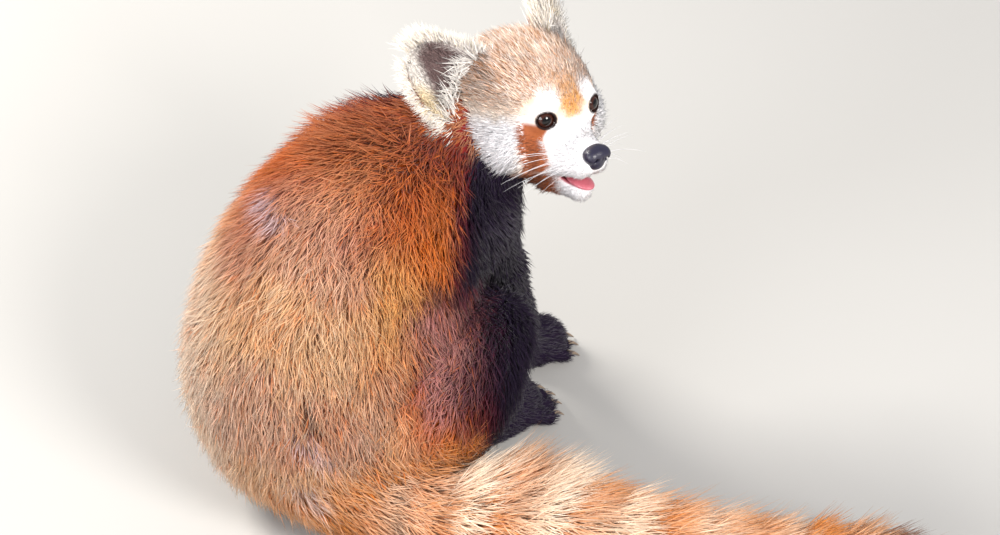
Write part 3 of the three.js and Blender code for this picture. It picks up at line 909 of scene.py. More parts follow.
def ear_point(side, share, turn, wall, inset=0.0):
    """A point of the ear: share of the way up, turn across it and depth behind the hollow."""
    root, rise, facing, across, length = ear_form(side)
    taper = ear_taper(share)
    half = (EAR_HALF_WIDTH - inset) * taper - 0.5 * wall
    deep = np.maximum(EAR_DEPTH * taper * (1 - 0.35 * share) - wall, 0.4)
    middle = root + (share * (length - inset) - EAR_SINK)[..., None] * rise
    return (
        middle
        + (half * np.sin(turn))[..., None] * across
        - (deep * np.cos(turn))[..., None] * facing
    )


def ear_mesh(side):
    """Rings round the leaf, behind it and back inside its hollow, closed at root and tip."""
    stations = 1 - np.linspace(1, 0, EAR_ALONG) ** 1.6
    turns = np.linspace(-math.pi / 2, math.pi / 2, EAR_ACROSS)
    rings = []
    for share in stations:
        full = np.full(turns.shape, share)
        outside = ear_point(side, full, turns, 0.0, EAR_INSET)
        inside = ear_point(side, full, turns[::-1], EAR_WALL, EAR_INSET)
        rings.append(np.concatenate([outside, inside]))
    points = np.concatenate(rings)
    count = len(rings[0])
    ring = np.arange(count)
    after = (ring + 1) % count
    strip = np.stack([ring, after, count + after, count + ring], axis=-1)
    quads = [strip + start * count for start in range(len(rings) - 1)]
    caps = []
    for start, flip in ((0, False), ((len(rings) - 1) * count, True)):
        for k in range(len(turns) - 1):
            quad = [start + k, start + count - 1 - k, start + count - 2 - k, start + k + 1]
            caps.append(quad[::-1] if flip else quad)
    faces = np.concatenate([*quads, np.array(caps)])
    return points, outwards(points, faces)


def ear_place(side, points):
    """Share of the way up and of the way across, and depth behind the opening."""
    root, rise, facing, across, length = ear_form(side)
    away = points - root
    share = (away @ rise + EAR_SINK) / length
    return share, (away @ across) / EAR_HALF_WIDTH, away @ facing


def ear_colours(side, points, behind):
    share, aside, _ = ear_place(side, points)
    colours = all_over(EAR_COLOURS["pale"], points)
    yellow = ramp(aside, 0.1, 0.4) * ramp(aside, 0.95, 0.6) * ramp(share, 0.9, 0.6)
    colours = stained(colours, EAR_COLOURS["yellow"], 0.7 * yellow)
    # Dusky skin in the hollow, with painted shade deep in it; the right ear's hollow is painted
    # darker than the left's.
    slant = share + 0.6 * np.maximum(aside + 0.4, 0)
    dusky_skin_and_shade = ramp(slant, 1.0, 0.76) * ramp(aside, -1.0, -0.76) * ramp(share, 0.06, 0.2)
    amount = {LEFT: 0.35, RIGHT: 1.0}[side]
    colours = stained(colours, EAR_COLOURS["hollow"], amount * dusky_skin_and_shade * (1 - behind))
    edge = np.abs(aside) / np.maximum(ear_taper(np.clip(share, 0, 1)), 0.2)
    rust = behind * ramp(edge, 0.82, 0.6) * ramp(share, 0.94, 0.8)
    return stained(colours, EAR_COLOURS["back"], rust)


for side, name in ((LEFT, "left"), (RIGHT, "right")):
    points, faces = ear_mesh(side)
    share, aside, depth = ear_place(side, points)
    hollow = EAR_DEPTH * (1 - 0.35 * share) * np.sqrt(np.clip(1 - aside**2, 0, 1))
    behind = ramp(-depth, hollow - 4.0, hollow - 2.0)
    ear = piece(f"ear_leaf_{name}", points, faces, hide, ear_colours(side, points, behind))
    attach(ear, "root")
    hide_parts(f"ear_{name}")

# Coat of the trunk and thighs
# Thick soft guard hair over wool, in tapered tufts that follow the lie of the coat.
# It is longest on the withers, and pale tips show over tan and rust on the back and rump.

TUFT_FLATNESS = 0.38
TUFT_SINK = 1.5
UV_PATCH = 0.003
UV_MARGIN = 0.01
TUFT_STATIONS = ((0.0, 0.8), (0.48, 0.9))
TUFT_TIP = (1.0, 0.0)
LEAST_HEIGHT = 0.4


def unit(vectors):
    return vectors / np.maximum(np.linalg.norm(vectors, axis=-1, keepdims=True), 1e-6)


def sampled(points, faces, count, weight, seed):
    """Evenly spread random places on a surface, with its facing there, by the given weight."""
    generator = np.random.default_rng(seed)
    triangles = np.concatenate([faces[:, :3], faces[:, [0, 2, 3]]]).astype(int)
    order = np.arange(len(triangles)).reshape(2, -1).T.ravel()
    corners = points[triangles[order]]
    square = np.cross(corners[:, 1] - corners[:, 0], corners[:, 2] - corners[:, 0])
    area = 0.5 * np.linalg.norm(square, axis=1) * weight(corners.mean(axis=1))
    total = np.cumsum(area)
    marks = (np.arange(count) + generator.random(count)) / count * total[-1]
    pick = np.minimum(np.searchsorted(total, marks), len(total) - 1)
    a, b = generator.random((2, count))
    over = a + b > 1
    a[over], b[over] = 1 - a[over], 1 - b[over]
    found = corners[pick]
    edges = found[:, 1:] - found[:, :1]
    places = found[:, 0] + a[:, None] * edges[:, 0] + b[:, None] * edges[:, 1]
    return places, unit(square[pick])


def unrolled(roots, start, end):
    """Place of each root on the skin unrolled round the line from start to end, from 0 to 1."""
    axis = unit(np.array(end, float) - np.array(start, float))
    across = unit(np.cross(axis, (0.31, 0.12, 0.94)))
    away = roots - np.array(start, float)
    turn = np.arctan2(away @ np.cross(axis, across), away @ across) / (2 * math.pi) + 0.5
    along = away @ axis
    along = (along - along.min()) / (along.max() - along.min())
    return UV_MARGIN + (1 - 2 * UV_MARGIN) * np.stack([turn, along], axis=-1)


def tufts(name, roots, out, lie, shape, colours, places):
    """One piece of coat. Shape has length, width, lift and fall in degrees, and bend."""
    count = len(roots)
    flow = unit(lie - out * np.einsum("ij,ij->i", lie, out)[:, None])
    side = np.cross(out, flow)
    length, width, lift, fall, bend = shape
    lift, fall = np.radians(lift), np.radians(fall)
    heart = roots - TUFT_SINK * out
    made, shares, asides = [], [], []
    last = 0.0
    for share, breadth in (*TUFT_STATIONS, TUFT_TIP):
        middle = 0.5 * (share + last)
        angle = lift + (fall - lift) * middle
        turn = bend * middle
        heading = flow * np.cos(turn)[:, None] + side * np.sin(turn)[:, None]
        across = side * np.cos(turn)[:, None] - flow * np.sin(turn)[:, None]
        ahead = heading * np.cos(angle)[:, None] + out * np.sin(angle)[:, None]
        above = out * np.cos(angle)[:, None] - heading * np.sin(angle)[:, None]
        heart = heart + ahead * ((share - last) * length)[:, None]
        last = share
        half = (0.5 * width * breadth)[:, None]
        if breadth == 0:
            made.append(heart)
            shares.append(share)
            asides.append(0.0)
            continue
        ridge = heart + above * half * 2 * TUFT_FLATNESS
        made += [heart + across * half, ridge, heart - across * half]
        shares += [share] * 3
        asides += [0.5, 0.0, -0.5]
    points = np.stack(made, axis=1)
    per = points.shape[1]
    points[..., 2] = np.maximum(points[..., 2], LEAST_HEIGHT)
    faces = [(0, 2, 1)]
    for ring in range(len(TUFT_STATIONS) - 1):
        for a, b in ((0, 1), (1, 2), (2, 0)):
            here, there = 3 * ring, 3 * ring + 3
            faces += [(here + a, here + b, there + b), (here + a, there + b, there + a)]
    top = 3 * (len(TUFT_STATIONS) - 1)
    faces += [(top, top + 1, per - 1), (top + 1, top + 2, per - 1), (top + 2, top, per - 1)]
    faces = np.array(faces)[None] + (np.arange(count) * per)[:, None, None]
    faces = faces.reshape(-1, 3)
    shares, asides = np.array(shares), np.array(asides)
    root, middle, tip = (part[:, None, :] for part in colours)
    early = np.clip(shares * 2, 0, 1)[None, :, None]
    late = np.clip(shares * 2 - 1, 0, 1)[None, :, None]
    paint = root + (middle - root) * early + (tip - middle) * late
    made = piece(name, points.reshape(-1, 3), faces, hair, paint.reshape(-1, 3))
    patch = np.stack([asides, shares - 0.5], axis=-1) * UV_PATCH
    spots = (places[:, None, :] + patch[None]).reshape(-1, 2)
    layer = made.data.uv_layers.new(name="OFBake")
    layer.data.foreach_set("uv", spots[faces.ravel()].astype(np.float32).ravel())
    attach(made, "root")
    return made


def coat(parts, roots, out, flow, shape, shades, line):
    """Pieces of coat by name and chosen tufts, unrolled round a line from start to end."""
    for name, chosen in parts:
        tufts(
            f"coat_{name}",
            roots[chosen],
            out[chosen],
            flow[chosen],
            tuple(part[chosen] for part in shape),
            tuple(part[chosen] for part in shades),
            unrolled(roots[chosen], *line),
        )


# Clean dry animal hair: matt, with a faint soft gleam. Its strands are the tufts themselves.
hair, tree = new_material("dry_guard_hair")
dye = add_node(tree, "ShaderNodeVertexColor", {"layer_name": "markings"})
shader = add_node(
    tree,
    "ShaderNodeBsdfPrincipled",
    inputs={
        "Base Color": dye.outputs["Color"],
        "Roughness": 0.62,
        "Specular IOR Level": 0.14,
        "Sheen Weight": 0.1,
        "Sheen Roughness": 0.5,
    },
)
add_node(tree, "ShaderNodeOutputMaterial", inputs={"Surface": shader.outputs["BSDF"]})

SPINE = np.array(
    [(4, 0, 20), (-6, 0, 90), (-14, 12, 140), (10, 50, 176), (50, 96, 204), NECK_TOP]
)
SPINE_STEPS = 26
SPINE_SOFTNESS = 16
PART_SOFTNESS = 7
DOWN = np.array([0.0, 0.0, -1.0])
spine_share = np.linspace(0, len(SPINE) - 1, SPINE_STEPS)
spine_points = np.stack(
    [np.interp(spine_share, np.arange(len(SPINE)), SPINE[:, axis]) for axis in range(3)], axis=-1
)
spine_ways = unit(np.gradient(spine_points, axis=0))


def trunk_lie(points):
    """From the neck to the rump, and a little down and round towards the belly."""
    off = np.linalg.norm(points[:, None, :] - spine_points[None], axis=-1)
    near = np.exp(-(off - off.min(axis=1, keepdims=True)) / SPINE_SOFTNESS)
    tangent = np.einsum("ij,jk->ik", near, spine_ways) / near.sum(axis=1, keepdims=True)
    return unit(tangent) * -1.0 + BELLY_WAY * 0.2 + DOWN * 0.3


def along(start, end):
    aim = unit(np.array(end, float) - np.array(start, float))
    return lambda points: all_over(aim, points)


def tail_lie(points):
    nearest, _ = tail_share(points)
    return unit(np.gradient(tail_points, axis=0))[nearest]


LIES = {"trunk": trunk_lie, "tail": tail_lie}
for side, name in ((RIGHT, "right"), (LEFT, "left")):
    forward = HIND_FOOT[side][0]
    LIES[f"thigh_{name}"] = along((0, 0, 0), -0.75 * forward + 0.5 * DOWN)
    LIES[f"shin_{name}"] = along(KNEE[side], ANKLE[side])
    LIES[f"hind_{name}"] = along((0, 0, 0), forward + 0.25 * DOWN)
    LIES[f"upper_{name}"] = along(SHOULDER[side], ELBOW[side])
    LIES[f"fore_{name}"] = along(ELBOW[side], WRIST[side])
    LIES[f"paw_{name}"] = along((0, 0, 0), FOREPAW[side][0] + 0.25 * DOWN)


def nearness(points):
    """How much each part of the body has a say at each point."""
    off = np.stack([field(points) for field in PARTS.values()], axis=-1)
    near = np.exp(-(off - off.min(axis=1, keepdims=True)) / PART_SOFTNESS)
    return dict(zip(PARTS, (near / near.sum(axis=1, keepdims=True)).T))


def body_lie(points, near):
    lie = unit(sum(near[part][:, None] * LIES[part](points) for part in PARTS))
    to_tail = ramp(PARTS["tail"](points), 60, 5)[:, None]
    return lie * (1 - to_tail) + tail_lie(points) * to_tail


def tousled(points, size, amount):
    """Slow swings of the coat's lie, as an animal that has been moving has."""
    swings = [clouds(points + 500 * axis, size) for axis in (1, 2, 3)]
    return amount * np.stack(swings, axis=-1)


def in_head(points):
    return head_field(points) < 0


BODY_TUFTS = 92000
TRUNK_HAIR = 25
TRUNK_TUFT_WIDTH = 1.0


def bare_body(points):
    """Where no hair grows: inside the head and on the soles."""
    return in_head(points) | (points[:, 2] < 1)


roots, _ = sampled(
    body_points, body_faces, BODY_TUFTS, lambda p: np.where(bare_body(p), 0, 1), seed=11
)
out = slope(body_field, roots, 2.0)
near = nearness(roots)
lie = body_lie(roots, near)


def share_of(*kinds):
    """How much the parts of these kinds have a say at each root."""
    return sum(near[part] for part in PARTS if part.split("_")[0] in kinds)


legs, feet = share_of("shin", "upper", "fore"), share_of("hind", "paw")
is_tail = near["tail"] > 0.5
is_limb = (~is_tail) & (legs + feet > 0.5)
is_trunk = ~(is_tail | is_limb)
dice = np.random.default_rng(12)


def scattered(values, spread):
    """The values, each changed at random by up to the spread as a share of it."""
    return values * (1 + spread * dice.uniform(-1, 1, len(values)))


def gathered(roots, flow, length, share, pull):
    """Leans each tuft to the heart of its lock, and says which lock each is in."""
    hearts = dice.choice(len(roots), int(len(roots) * share), replace=False)
    finder = KDTree(len(hearts))
    for number, place in enumerate(roots[hearts]):
        finder.insert(place, number)
    finder.balance()
    lock = np.array([finder.find(place)[1] for place in roots])
    lean = (roots[hearts[lock]] - roots) / length[:, None]
    return flow + pull * lean, lock


def of_lock(lock, spread, heart=0.0):
    """A random amount that all the tufts of a lock share."""
    return dice.normal(heart, spread, lock.max() + 1)[lock]


# Partings, where the wool shows pale or dark: both ends, half width and colour.
PARTINGS = [
    ((-48, 34, 243), (-38, 8, 232), 5, linear("#cdb6bd")),
    ((-28, -104, 126), (-11, -112, 110), 5, linear("#c7adb2")),
    ((-35, -108, 82), (-27, -104, 56), 5, linear("#d8c4c0")),
    ((-23, -94, 154), (-18, -104, 137), 4, linear("#4e2a22")),
]
PARTING_REACH = 60


def parted(roots, out, flow, base):
    """Turns the tufts away from each parting, and shows the wool along it."""
    for start, end, half, wool in PARTINGS:
        reach = np.array(end, float) - np.array(start, float)
        share = np.clip((roots - np.array(start)) @ reach / (reach @ reach), 0, 1)
        away = roots - np.array(start) - share[:, None] * reach
        away = away - out * np.einsum("ij,ij->i", away, out)[:, None]
        off = np.linalg.norm(away, axis=1)
        close = ramp(off, 3 * half, half)
        close = close * (np.linalg.norm(roots - np.array(start), axis=1) < PARTING_REACH)
        flow = flow + 0.45 * close[:, None] * unit(away)
        base = stained(base, wool, 0.75 * close * ramp(off, 2.4 * half, 0.3 * half))
    return flow, base


def trunk_shades(roots, out, base, lock):
    """Root, middle and tip colours of each tuft, with painted rim light on the coat that faces -X.
    """
    count = len(roots)
    bright = np.exp(dice.normal(0, 0.09, count) + of_lock(lock, 0.07))[:, None]
    warm = ramp(base.mean(axis=1), 0.015, 0.09)
    high = ramp(roots[:, 2], 262, 225)
    back = backness(roots)
    pale = np.clip(dice.normal(0.3, 0.22, count) + of_lock(lock, 0.12), 0, 0.9) * warm * high
    pale = pale * (0.25 + 0.75 * back)
    # Painted rim light: cream in the tips, middles and roots where the coat faces -X, towards the
    # back lamp, fading below the back.
    rim = 0.75 * ramp(-out[:, 0], 0.5, 0.95) * warm * ramp(roots[:, 2], 236, 190)
    tip = stained(base * 1.14, PELAGE["gold"], (0.16 + 0.3 * back) * warm)
    tip = stained(tip, PELAGE["cream"], np.clip(0.8 * pale + rim, 0, 0.95))
    middle = stained(base, PELAGE["cream"], np.clip(0.2 * pale + 0.6 * rim, 0, 0.9))
    odd = dice.random(count)
    middle = np.where((odd < 0.12)[:, None], middle * 0.76, middle)
    fiery = (odd > 0.86) * warm
    middle = stained(middle, PELAGE["orange"], 0.6 * fiery)
    return stained(base, PELAGE["cream"], 0.3 * rim), middle * bright, tip * bright


trunk_roots, trunk_out, trunk_flow = roots[is_trunk], out[is_trunk], lie[is_trunk]
count = len(trunk_roots)
thighs = (near["thigh_right"] + near["thigh_left"])[is_trunk]
belly = ramp(trunk_roots @ BELLY_WAY, 60, 100)
mane = ramp(trunk_roots[:, 2], 238, 262) * ramp(trunk_roots @ BELLY_WAY, 24, 66)
mane *= ramp(head_field(trunk_roots), 26, 50)
length = scattered(TRUNK_HAIR - 4 * thighs - 5 * belly + 8 * mane, 0.25)
width = scattered(np.full(count, TRUNK_TUFT_WIDTH), 0.3)
trunk_flow = trunk_flow + dice.normal(0, 0.15, (count, 3)) + tousled(trunk_roots, 26, 0.16)
trunk_flow, lock = gathered(trunk_roots, trunk_flow, length, share=0.06, pull=0.42)
trunk_flow = trunk_flow + np.stack([of_lock(lock, 0.1) for _ in range(3)], axis=-1)
base = body_colours(trunk_roots + 9 * trunk_out)
to_head = head_field(trunk_roots)
length = length * (0.4 + 0.6 * ramp(to_head, 0, 24))
near_side = ramp(head_place(trunk_roots)[1], -6, -26)
tan_neck = ramp(to_head, 15, 5) * ramp(trunk_roots[:, 2], 244, 256) * near_side
base = stained(base, PELAGE["ruff"], 0.8 * tan_neck)
trunk_flow, base = parted(trunk_roots, trunk_out, trunk_flow, base)
stray = dice.random(count) < 0.05
lift = dice.normal(34, 6, count) + of_lock(lock, 3) + 12 * stray + 14 * mane
fall = dice.normal(11, 7, count) + 16 * stray + 14 * mane
bend = dice.normal(0, 0.3, count) + of_lock(lock, 0.2)
shades = trunk_shades(trunk_roots, trunk_out, base, lock)
TRUNK_PIECES = ("rump", "haunches", "loins", "flanks", "shoulders")
order = np.argsort(trunk_roots[:, 2] + 0.4 * trunk_roots[:, 1], kind="stable")
coat(
    zip(TRUNK_PIECES, np.array_split(order, len(TRUNK_PIECES))),
    trunk_roots,
    trunk_out,
    trunk_flow,
    (length, width, lift, fall, bend),
    shades,
    ((0, 0, 0), (40, 70, 220)),
)

# Coat of the legs and feet
# Close black hair that lies down the legs and forward over the toes.
# It shines a little where light rakes it, with a painted purple sheen on its tips, and is shortest
# on the toes.

LEG_HAIR = 17
LEG_TUFT_WIDTH = 1.15
limb_roots, limb_out, limb_flow = roots[is_limb], out[is_limb], lie[is_limb]
count = len(limb_roots)
small = feet[is_limb]
length = scattered(LEG_HAIR - 9 * small, 0.2)
width = scattered(LEG_TUFT_WIDTH - 0.45 * small, 0.25)
lift = dice.normal(30, 6, count)
fall = dice.normal(10, 6, count)
bend = dice.normal(0, 0.25, count)
bright = np.exp(dice.normal(0, 0.25, count))[:, None]
base = body_colours(limb_roots + 5 * limb_out)
limb_flow = limb_flow + dice.normal(0, 0.1, (count, 3))
# Painted sheen: the tips of the black leg hair are tinted purple, as raking light shows on it.
sheen = linear("#46305c")
shades = (base * 0.6, base * bright, stained(base, sheen, np.full(count, 0.3)) * bright)
on_foreleg = share_of("upper", "fore", "paw")[is_limb] > 0.5
coat(
    (("forelegs", on_foreleg), ("hind_legs", ~on_foreleg)),
    limb_roots,
    limb_out,
    limb_flow,
    (length, width, lift, fall, bend),
    shades,
    ((0, 0, 0), (10, 20, 200)),
)

# Coat of the tail
# Long bushy hair all round the tail's core, in rings of pale and reddish brown.
# It stands out to the tail's full width and leans to the tip.

TAIL_TUFTS = 26000
TAIL_TUFT_WIDTH = 1.2
tail_roots, _ = sampled(
    body_points, body_faces, TAIL_TUFTS, lambda p: on_tail(p) * (p[:, 2] > 2), seed=21
)
tail_out = slope(body_field, tail_roots, 2.0)
count = len(tail_roots)
nearest, _ = tail_share(tail_roots)
full = tail_radii[nearest]
tail_flow = tail_lie(tail_roots) + dice.normal(0, 0.14, (count, 3))
body_off = np.minimum(PARTS["trunk"](tail_roots), PARTS["thigh_right"](tail_roots))
length = scattered(full * (0.55 + 0.45 * ramp(body_off, 2, 30)), 0.22)
width = scattered(np.full(count, TAIL_TUFT_WIDTH), 0.3)
tail_flow, lock = gathered(tail_roots, tail_flow, length, share=0.05, pull=0.7)
base_hairs = ramp(tail_roots[:, 0], 24, 56) * ramp(tail_roots[:, 0], 170, 130)
base_hairs *= ramp(tail_out[:, 2], 0.1, 0.6)
lift = dice.normal(43, 8, count) + of_lock(lock, 3) + 12 * base_hairs
fall = dice.normal(14, 9, count) + 20 * base_hairs
bend = dice.normal(0, 0.25, count) + of_lock(lock, 0.15)
ahead = tail_roots + 26 * tail_lie(tail_roots)
base = tail_colours(ahead)
light = ramp(base.min(axis=1), 0.06, 0.5)
bright = np.exp(dice.normal(0, 0.1, count) + of_lock(lock, 0.07))[:, None]
pale = np.clip(dice.normal(0.04, 0.18, count) + of_lock(lock, 0.1) + 0.3 * light, 0, 0.9)
pale = np.clip(pale + 0.4 * base_hairs * ramp(tail_out[:, 2], 0.6, 0.95), 0, 0.92)
tip = stained(base, PELAGE["cream"], pale)
shades = (base * 0.8, stained(base, PELAGE["cream"], 0.3 * pale) * bright, tip * bright)
order = np.argsort(tail_roots[:, 0], kind="stable")
coat(
    zip(("tail_root", "tail_end"), np.array_split(order, 2)),
    tail_roots,
    tail_out,
    tail_flow,
    (length, width, lift, fall, bend),
    shades,
    (TAIL_STOPS[0], TAIL_STOPS[-1]),
)

# Coat of the head
# Short plush hair that runs back from the nose and lengthens over the crown and cheeks.
# Behind each cheek it ends in a long white ruff.

HEAD_TUFTS = 34000
HEAD_HAIR = 8.5
HEAD_TUFT_WIDTH = 0.75
NOSE_TIP = on_head(30, 0, -26)


def bare(points):
    """How far each point is from the lids, the lips and the nose."""
    return np.minimum.reduce(
        [
            *(lid_opening(side)(points) - 1.6 for side in (LEFT, RIGHT)),
            MOUTH(points) - 0.7,
            nose_field(points) - 0.3,
        ]
    )


def head_weight(points):
    fine = 1 + 2.2 * ramp(head_place(points)[0], -40, 0)
    return np.where((bare(points) < 0) | (body_field(points) < -3), 0, fine)


head_roots, _ = sampled(head_points, head_faces, HEAD_TUFTS, head_weight, seed=31)
head_out = slope(head_field, head_roots, 1.2)
forward, left, up = head_place(head_roots)
aside = np.abs(left)
count = len(head_roots)
cheek = ramp(aside, 16, 34) * ramp(up, 4, -18) * ramp(forward, -12, -40)
crown = ramp(up, 0, 30) * ramp(forward, -5, -40)
muzzle = ramp(forward, -22, -2)
throat = ramp(up, -40, -56) * ramp(forward, 0, -20)
length = HEAD_HAIR - 3.2 * muzzle + 9 * crown + 15 * cheek + 8 * throat
behind = ramp(forward, -46, -74) * ramp(up, 22, 2)
length += 9 * behind
near_eye = np.minimum(
    *pair(lambda side: np.linalg.norm(head_roots - eye_middle(side), axis=1))
)
length *= 0.45 + 0.55 * ramp(near_eye, 10, 20)
length = scattered(length, 0.22)
width = scattered(HEAD_TUFT_WIDTH - 0.28 * muzzle + 0.25 * cheek, 0.25)
head_flow = unit(head_roots - NOSE_TIP) - 0.5 * HEAD[0] - (0.5 * cheek)[:, None] * HEAD[2]
head_flow = unit(head_flow) + dice.normal(0, 0.13, (count, 3))
lift = dice.normal(30, 6, count) + 6 * crown + 6 * cheek + 6 * behind
fall = dice.normal(14, 7, count) + 8 * behind
bend = dice.normal(0, 0.25, count)
base = face_colours(head_roots)
ticked = ramp(up - 0.12 * aside, -8, 8)
head_flow, lock = gathered(head_roots, head_flow, length, share=0.07, pull=0.5)
orange_hair = ramp(base[:, 0] - base[:, 2], 0.12, 0.3)
bright = np.exp(dice.normal(0, 0.06 + 0.07 * ticked + 0.16 * orange_hair))[:, None]
dark_hair = ticked * (dice.random(count) < 0.38)
base = stained(base, FACE["brown"], 0.68 * dark_hair)
frost = np.clip(dice.normal(0.38, 0.42, count) + of_lock(lock, 0.2), 0, 1)
tip = stained(base, FACE["white"], ticked * frost)
# Painted shade: each tuft's root is darker than its hair, and bluish-grey under pale hair, as deep
# in the coat.
pale = ramp(base.min(axis=1), 0.5, 0.85)[:, None]
root = base * (0.8 + np.array([0.06, 0.08, 0.14]) * pale)
shades = (root, base * bright, tip * bright)
order = np.argsort(-forward, kind="stable")
coat(
    zip(("face", "crown"), np.array_split(order, 2)),
    head_roots,
    head_out,
    head_flow,
    (length, width, lift, fall, bend),
    shades,
    (on_head(-60, 0, -60), on_head(-60, 0, 60)),
)

# Coat of the ears
# Fine short hair on the leaf, rust behind and dusky, with painted shade, in the hollow.
# Long pale hair stands out from both edges and leans over the hollow.

EAR_TUFTS = 5200
FRINGE_TUFTS = 3600
HOLLOW_TUFTS = 520


def ear_hair(length, spread, breadth, lift, fall):
    """Sizes of one kind of the ear's hair. Lift and fall are a middle and a spread each."""
    count = len(length)
    return [
        scattered(length, spread),
        scattered(np.full(count, breadth), 0.25),
        dice.normal(*lift, count),
        dice.normal(*fall, count),
        dice.normal(0, 0.3, count),
    ]


for side, name in ((LEFT, "left"), (RIGHT, "right")):
    root, rise, facing, across, ear_length = ear_form(side)
    points, faces = ear_mesh(side)
    roots, out = sampled(points, faces, EAR_TUFTS, lambda p: np.ones(len(p)), 41 + side)
    share, aside, depth = ear_place(side, roots)
    behind = ramp(out @ facing, 0.1, -0.3)
    base = ear_colours(side, roots, behind)
    lie = rise + (1.2 * ramp(aside, 0.1, 0.6) - 0.7 * ramp(aside, -0.5, -0.9))[:, None] * across
    plush = ear_hair(8.0 + 4.0 * ramp(np.abs(aside), 0.3, 0.8), 0.25, 0.85, (32, 8), (12, 8))
    edge_share = dice.uniform(0.04, 1.0, FRINGE_TUFTS)
    sign = np.where(dice.random(FRINGE_TUFTS) < 0.5, 1.0, -1.0)
    turn = sign * (math.pi / 2 - np.abs(dice.normal(0, 0.34, FRINGE_TUFTS)))
    fringe_roots = ear_point(side, edge_share, turn, EAR_WALL * 0.5, EAR_INSET)
    fringe_lie = (
        across * (sign * (1.15 - edge_share))[:, None]
        + rise * (0.35 + edge_share)[:, None]
        + dice.normal(0, 0.18, (FRINGE_TUFTS, 3))
    )
    fringe_base = stained(
        all_over(EAR_COLOURS["pale"], fringe_roots),
        EAR_COLOURS["yellow"],
        np.clip(dice.normal(0.1, 0.15, FRINGE_TUFTS), 0, 1),
    )
    fringe_out = all_over(facing, fringe_roots)
    fringe_length = (
        12.5
        + 15.0 * (sign > 0) * ramp(edge_share, 0.5, 0.2)
        + 6.0 * (sign < 0) * ramp(edge_share, 0.6, 0.85)
    )
    fringe = ear_hair(fringe_length, 0.3, 0.85, (26, 14), (6, 11))
    start = dice.uniform(0.02, 0.3, HOLLOW_TUFTS)
    hollow_turn = dice.uniform(-1.4, 1.4, HOLLOW_TUFTS)
    hollow_roots = ear_point(side, start, hollow_turn, EAR_WALL, EAR_INSET)
    hollow_lie = rise + 0.55 * dice.normal(0, 1, HOLLOW_TUFTS)[:, None] * across
    hollow = ear_hair(np.full(HOLLOW_TUFTS, 22.0), 0.35, 1.0, (38, 10), (2, 12))
    hollow_base = all_over(EAR_COLOURS["pale"], hollow_roots)
    hollow_out = all_over(facing, hollow_roots)
    all_roots = np.concatenate([roots, fringe_roots, hollow_roots])
    all_base = np.concatenate([base, fringe_base, hollow_base])
    ruddy = ramp(all_base[:, 0] - all_base[:, 2], 0.1, 0.2)
    bright = np.exp(dice.normal(0, 0.12 + 0.16 * ruddy))[:, None]
    tufts(
        f"coat_ear_{name}",
        all_roots,
        np.concatenate([out, fringe_out, hollow_out]),
        np.concatenate([lie + dice.normal(0, 0.12, lie.shape), fringe_lie, hollow_lie]),
        tuple(np.concatenate(parts) for parts in zip(plush, fringe, hollow)),
        (all_base * 0.95, all_base * bright, all_base * bright),
        unrolled(all_roots, root - 0.5 * ear_length * facing, root + 0.5 * ear_length * facing),
    )

# Claws
# Curved horn claws, one in the tip of each toe, half hidden by the hair of the feet.
# Each is a round spike that bends down to a blunt point.

CLAW_LENGTH = 0.013
CLAW_RADIUS = 0.0021
CLAW_TIP_RADIUS = 0.0004


